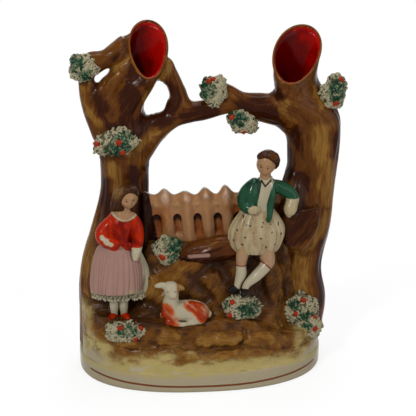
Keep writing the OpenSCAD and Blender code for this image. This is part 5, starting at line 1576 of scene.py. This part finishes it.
class MakeLamb(SpillVaseOperator, Operator):
    """Lying white lamb with russet patches"""
    bl_idname = "spill_vase.make_lamb"
    bl_label = "Lamb"

    def execute(self, context):
        # The foot is found from the corners of the head. The wool is rough, and the eyes are set in.
        low, high = corner_of("lamb_head"), corner_of("lamb_head", False)
        foot = np.array([high[0], low[1], high[2]]) - LAMB_HEAD
        points, quads, tris = weld(self.lamb_parts(), self.sizes.figure_grid / MM, 14)
        push = 0.12 * rough(points, 1.7, 5, 2) * ease(22, 17, points[:, 2])
        push -= 0.5 * spots(points, [(-10.9, 24.2, 0.9, 0.6), (-5.9, 24.0, 0.9, 0.6)]) * (points[:, 1] < -5)
        points = points + push[:, None] * normals(points, quads, tris)
        layers = [
            ("patch", "russet", 0.15, 0.9), ("deep", "russet_deep", 0.1, 1.05),
            ("ear", "bark_ochre", 0.2, 1.2), ("nose", "blush", 0.3, 1.0), ("eye", "log", 0.3, 1.0)]
        material = glazed("wool glaze", "white", layers, pool=0.2, ripple=0.15, gloss=0.1)
        make_piece(
            "lying_lamb", (points * LAMB_SCALE + foot, quads, tris), material,
            ["lamb_body", "lamb_head", "lamb_ears"], self.lamb_masks(points))
        return {"FINISHED"}

    @staticmethod
    def lamb_parts():
        """Body, neck with head, ears, muzzle, haunch and two legs, drawn from the lamb's foot."""
        body = [
            [-13.2, -1.5, 6, 2.6], [-11.8, -1.5, 6.6, 5], [-8, -1, 7.4, 6.5], [-1, 0, 7.6, 6.8],
            [7, 1, 6.6, 6.7], [12.4, 1.6, 5, 5], [14.6, 1.8, 4.2, 2.8]]
        neck = [
            [-9.4, -2.4, 6, 5.6, 4.8], [-9, -2.6, 13, 5.4, 4.6], [-8.6, -3.4, 18, 4.6, 4.4],
            [-8.3, -4.8, 21.6, 4.4, 4.9], [-8.6, -4.2, 25, 4.9, 4.7], [-9, -3.4, 27.4, 4.2, 3.6],
            [-9, -3.2, 28.6, 1.8, 1.6]]
        left_ear = [
            [-11, -3.6, 26.1, 1.7], [-14.5, -3.6, 26.7, 2], [-17.2, -3.6, 26.4, 1.6],
            [-18.2, -3.6, 26.2, 1.1]]
        right_ear = [
            [-6.6, -3.6, 25.4, 1.6], [-3.6, -3.4, 25, 1.9], [-1.4, -3.2, 24, 1.6], [-0.8, -3.2, 23.6, 1.1]]
        front_leg = [[-11, -5.4, 2.6, 2], [-5, -7.2, 1.8, 1.7], [0, -7.6, 1.6, 1.4]]
        hind_leg = [[6, -5.4, 1.8, 1.8], [1, -6.4, 1.5, 1.4]]
        return [
            skin(limb(body, 60, 48)), skin(level_rings(neck, 50, 48)), skin(limb(left_ear, 24, 24)),
            skin(limb(right_ear, 24, 24)), skin(ball((-7.6, -8.2, 21.4), (2.7, 2.6, 2.1))),
            skin(ball((8.4, -3.6, 4.4), (5.6, 3.8, 4.8))), skin(limb(front_leg, 24, 24)),
            skin(limb(hind_leg, 16, 20))]

    @staticmethod
    def lamb_masks(points):
        """Patches laid on in aslant brush marks, a darker patch inside each, one ochre ear, eyes and nose."""
        x, y, z = points.T
        brush = rough(points @ np.array([[1, 0, 0.25], [0, 1, 0], [0.9, 0, 0.25]]), 2.2, 15, 3)
        front = ease(2, -1, y)
        patch = np.maximum(
            stroke(points, [(-13, 10), (-12, 4), (-9.6, 2)], 8.5),
            stroke(points, [(3, 13.6), (7, 11.4), (11.4, 5)], 6)) * front
        deep = np.maximum(
            stroke(points, [(-13, 9), (-11.4, 3)], 6.5),
            stroke(points, [(4.4, 12.6), (7, 11.6), (11.6, 6)], 5)) * front
        return {
            "patch": patch * (1.0 + 0.6 * brush), "deep": deep * (0.95 + 0.8 * brush),
            "ear": ease(-6.4, -4.6, x) * ease(21.6, 22.4, z),
            "eye": spots(points, [(-11, 23.9, 0.8, 0.28), (-5.8, 23.7, 0.8, 0.28)]) * (y < -5),
            "nose": spots(points, [(-7.6, 20.6, 1.3, 0.5)]) * (y < -9)}


class MakeFlowers(SpillVaseOperator, Operator):
    """Clusters of shredded clay with green washes and red blossoms"""
    bl_idname = "spill_vase.make_flowers"
    bl_label = "Flowers"

    def execute(self, context):
        layers = [
            ("shade", "clay_shade", 0.1, 1.2), ("leaf", "green", 0.25, 1.1),
            ("leaf_deep", "green_deep", 0.4, 1.2), ("bloom", "blossom", 0.3, 0.7)]
        material = glazed("flower clay", "clay", layers, pool=0.3, ripple=0.15)
        for index, cluster in enumerate(CLUSTERS):
            self.make_cluster(index, cluster, material)
        return {"FINISHED"}

    def make_cluster(self, index, cluster, material):
        """A dome of clay, curled strands that lie on it, and round blossoms, turned by the tilt and set on
        the seat. Each point is tagged with its share of green, of blossom and of shade."""
        node, seat, wide, high, tilt, greens, blooms = cluster
        chance = np.random.default_rng(40 + index)

        def on_dome(share, a, grow):
            """Point of an oval dome with a wavy edge: share 0 is its top and share 1 its edge."""
            lift = np.radians(90) * (1 - share)
            wave = 1 + 0.08 * np.cos(5 * a + 0.7 * index) + 0.07 * np.cos(3 * a + 2.1 * index)
            return points_of(
                wide * grow * share ** 0.5 * wave * np.cos(a), -CLUSTER_DEPTH * grow * np.sin(lift) ** 0.8,
                high * grow * share ** 0.5 * wave * np.sin(a))

        share = np.linspace(0.02, 1, 16)[:, None]
        dome = on_dome(*np.broadcast_arrays(share, turns(56)), 0.92)
        dome = dome * (1 + 0.1 * rough(dome, 2.4, 50 + index, 2))[..., None]
        shapes = [skin(np.concatenate([dome, [dome[-1] * [0.9, 0, 0.9] + [0, 3.5, 0]]]))]
        # The dome between the strands gets full painted shade.
        tags = [np.tile([0, 0, 1.1], (len(shapes[0][0]), 1))]

        count = self.sizes.strand_count
        root = on_dome(chance.uniform(0.0, 1, count), chance.uniform(0, 2 * np.pi, count), 0.9)
        up = unit(root * [1 / wide ** 2, 1 / CLUSTER_DEPTH ** 2, 1 / high ** 2] + [0, -0.04, 0])
        shapes.append(self.strands(root, up, chance))
        disc = np.stack([root[:, 0] / wide, root[:, 2] / high], -1)
        tags.append(self.strand_tags(disc, greens, chance))

        for bx, bz in blooms:
            reach = min(np.hypot(bx, bz), 0.98)
            middle = on_dome(np.array(reach ** 2), np.array(np.arctan2(bz, bx)), 1.02)
            petals = ball((0, 0, 0), (1.8, 1.3, 1.9), 14, 30)
            lobes = np.cos(5 * np.arctan2(petals[..., 2:], petals[..., :1]) + chance.uniform(0, 6))
            shapes.append(skin(petals * (1 + 0.11 * lobes) + middle))
            tags.append(np.tile([0.0, 1.0, 0.0], (len(shapes[-1][0]), 1)))

        points, quads, tris = joined(shapes)
        green, bloom, shade = np.concatenate(tags).T
        t = np.radians(tilt)
        x, y, z = points.T
        points = points_of(x * np.cos(t) + z * np.sin(t), y, -x * np.sin(t) + z * np.cos(t)) + seat
        cloudy = rough(points, 2.6, 30 + index, 2)
        masks = {
            "leaf": green + 0.15 * cloudy * (green > 0.05), "leaf_deep": green * (0.5 + cloudy),
            "bloom": bloom, "shade": shade + 0.3 * cloudy}
        make_piece(node + "_clay", (points, quads, tris), material, [node], masks)

    def strands(self, root, up, chance):
        """Each strand is a tapered circle carried along an arc that rises in its middle and curls aside."""
        sizes, count = self.sizes, len(root)
        way = unit(np.cross(up, chance.normal(0, 1, (count, 3))))
        way += up * chance.uniform(-0.1, 0.5, (count, 1))
        side = np.cross(up, way)
        along = np.linspace(-1, 1, len(STRAND_TAPER))[None, :, None]
        long = sizes.strand_length / MM / 2 * chance.uniform(0.7, 1.2, (count, 1, 1))
        curl = chance.uniform(-0.7, 0.7, (count, 1, 1))
        arc = way[:, None] * along + side[:, None] * curl * along ** 2 + up[:, None] * 0.45 * (1 - along ** 2)
        centre = root[:, None] + long * arc
        thick = sizes.strand_radius / MM * chance.uniform(0.75, 1.25, (count, 1, 1)) * STRAND_TAPER[:, None]
        ring = turns(STRAND_SIDES)[:, None]
        hoop = np.cos(ring) * side[:, None] + np.sin(ring) * up[:, None]
        return strand_skins(centre[:, :, None] + thick[..., None] * hoop[:, None])

    @staticmethod
    def strand_tags(disc, greens, chance):
        """Strands near a green wash are green, all get painted shade underneath, and none is part of a
        blossom.
        """
        count = len(disc)
        leaf = np.zeros(count)
        for gx, gz, reach in greens:
            leaf = np.maximum(leaf, 1 - ease(0.6 * reach, 1.2 * reach, np.hypot(*(disc - [gx, gz]).T)))
        leaf = leaf * chance.uniform(0.55, 1.2, count)
        under = np.tile(0.55 - 0.75 * np.sin(turns(STRAND_SIDES)), len(STRAND_TAPER))
        under = np.append(under, [0.7, 0.7])
        grey = chance.uniform(-0.15, 0.45, count)
        leaf = np.repeat(leaf, len(under))
        return np.stack([leaf, 0 * leaf, (grey[:, None] + under).ravel()], -1)


class MakeStage(SpillVaseOperator, Operator):
    """Pale floor, white surroundings, soft lamps and the camera"""
    bl_idname = "spill_vase.make_stage"
    bl_label = "Stage"

    def execute(self, context):
        scene = bpy.context.scene
        scene.view_settings.view_transform = "Standard"
        self.make_floor(scene)
        self.make_world(scene)
        for lamp in LAMPS:
            self.make_lamp(scene, *lamp)
        self.make_camera(scene)
        return {"FINISHED"}

    @staticmethod
    def seen(tree):
        """1 for the rays that show the surroundings: camera, glossy and transmission rays."""
        rays = put(tree, "ShaderNodeLightPath")
        both = sums(tree, "MAXIMUM", rays.outputs["Is Camera Ray"], rays.outputs["Is Glossy Ray"])
        return sums(tree, "MAXIMUM", both, rays.outputs["Is Transmission Ray"])

    def make_floor(self, scene):
        """Floor that is seen as plain white, with a faint part of its own shade near the object."""
        side = np.linspace(-FLOOR_HALF, FLOOR_HALF, 3)
        x, y = np.meshgrid(side, side)
        points = points_of(x, y, 0).reshape(-1, 3)
        quads = grid_faces(np.arange(x.size).reshape(x.shape))
        floor = bpy.data.objects.new("pale_floor", mesh_of("pale_floor", points, quads, NO_TRIS))
        scene.collection.objects.link(floor)
        material = bpy.data.materials.new("pale floor")
        material.use_nodes = True
        tree = material.node_tree
        shader, output = tree.nodes["Principled BSDF"], tree.nodes["Material Output"]
        shader.inputs["Base Color"].default_value = (0.9, 0.9, 0.9, 1)
        shader.inputs["Roughness"].default_value = 0.8
        glow = put(tree, "ShaderNodeEmission")
        mix = put(tree, "ShaderNodeMixShader")
        reach = put(tree, "ShaderNodeVectorMath", operation="LENGTH")
        feed(tree, reach.inputs[0], put(tree, "ShaderNodeTexCoord").outputs["Object"])
        far = eased(tree, reach.outputs["Value"], FLOOR_NEAR, FLOOR_FAR)
        lit = sums(tree, "ADD", FLOOR_WHITE, sums(tree, "MULTIPLY", far, 1 - FLOOR_WHITE))
        feed(tree, mix.inputs["Fac"], sums(tree, "MULTIPLY", self.seen(tree), lit))
        feed(tree, mix.inputs[1], shader.outputs["BSDF"])
        feed(tree, mix.inputs[2], glow.outputs["Emission"])
        feed(tree, output.inputs["Surface"], mix.outputs["Shader"])
        floor.data.materials.append(material)

    def make_world(self, scene):
        """Surroundings that are seen as white and light the object softly."""
        world = bpy.data.worlds.new("white surroundings")
        scene.world = world
        world.use_nodes = True
        tree = world.node_tree
        soft = tree.nodes["Background"]
        soft.inputs["Color"].default_value = (1, 1, 1, 1)
        soft.inputs["Strength"].default_value = WORLD_STRENGTH
        white = put(tree, "ShaderNodeBackground")
        white.inputs["Color"].default_value = (1, 1, 1, 1)
        mix = put(tree, "ShaderNodeMixShader")
        feed(tree, mix.inputs["Fac"], self.seen(tree))
        feed(tree, mix.inputs[1], soft.outputs["Background"])
        feed(tree, mix.inputs[2], white.outputs["Background"])
        feed(tree, tree.nodes["World Output"].inputs["Surface"], mix.outputs["Shader"])

    @staticmethod
    def aim(thing, place, target):
        """Places a lamp or camera and turns its -Z towards the target."""
        back = unit(place - target)
        right = unit(np.cross([0, 0, 1], back))
        matrix = np.eye(4)
        matrix[:3] = np.stack([right, np.cross(back, right), back, place], -1)
        thing.matrix_world = Matrix(matrix.tolist())

    def make_lamp(self, scene, name, place, size, power):
        """Square lamp that shines on the middle of the group."""
        data = bpy.data.lights.new(name, "AREA")
        data.shape = "SQUARE"
        data.size = size
        data.energy = power
        lamp = bpy.data.objects.new(name, data)
        scene.collection.objects.link(lamp)
        self.aim(lamp, np.array(place), np.array(LAMP_TARGET))

    def make_camera(self, scene):
        """Camera at its distance from the middle of the group, turned to the left of the front and raised."""
        data = bpy.data.cameras.new("camera")
        data.sensor_width = CAMERA_SENSOR
        data.lens = CAMERA_LENS
        camera = bpy.data.objects.new("camera", data)
        scene.collection.objects.link(camera)
        turn, rise = np.radians(CAMERA_TURN), np.radians(CAMERA_RISE)
        target = np.array(CAMERA_TARGET)
        away = np.array([np.sin(turn) * np.cos(rise), -np.cos(turn) * np.cos(rise), np.sin(rise)])
        self.aim(camera, target + CAMERA_REACH * away, target)
        scene.camera = camera


# Panel and registration

STEPS = (
    MakePlinth, MakeGround, MakeTrees, MakeFence, MakeLog, MakeGirl, MakeBoy, MakeLamb, MakeFlowers,
    MakeStage)


class SpillVasePanel(Panel):
    """Sidebar panel with the steps, sizes and colours"""
    bl_idname = "VIEW3D_PT_spill_vase"
    bl_label = "Spill Vase"
    bl_space_type = "VIEW_3D"
    bl_region_type = "UI"
    bl_category = "Spill Vase"

    def draw(self, context):
        column = self.layout.column(align=True)
        for step in STEPS:
            column.operator(step.bl_idname)
        for group in (context.scene.spill_vase_sizes, context.scene.spill_vase_colours):
            box = self.layout.box()
            for key in group.__annotations__:
                box.prop(group, key)


CLASSES = (SpillVaseSizes, SpillVaseColours, *STEPS, SpillVasePanel)


def register():
    """Makes the steps, the panel and the settings known."""
    for item in CLASSES:
        bpy.utils.register_class(item)
    bpy.types.Scene.spill_vase_sizes = PointerProperty(type=SpillVaseSizes)
    bpy.types.Scene.spill_vase_colours = PointerProperty(type=SpillVaseColours)


def unregister():
    """Takes them out again, in the opposite order."""
    del bpy.types.Scene.spill_vase_colours
    del bpy.types.Scene.spill_vase_sizes
    for item in reversed(CLASSES):
        bpy.utils.unregister_class(item)


def main():
    """Runs all the steps."""
    register()
    for step in STEPS:
        group, name = step.bl_idname.split(".")
        getattr(getattr(bpy.ops, group), name)()


if __name__ == "__main__":
    main()
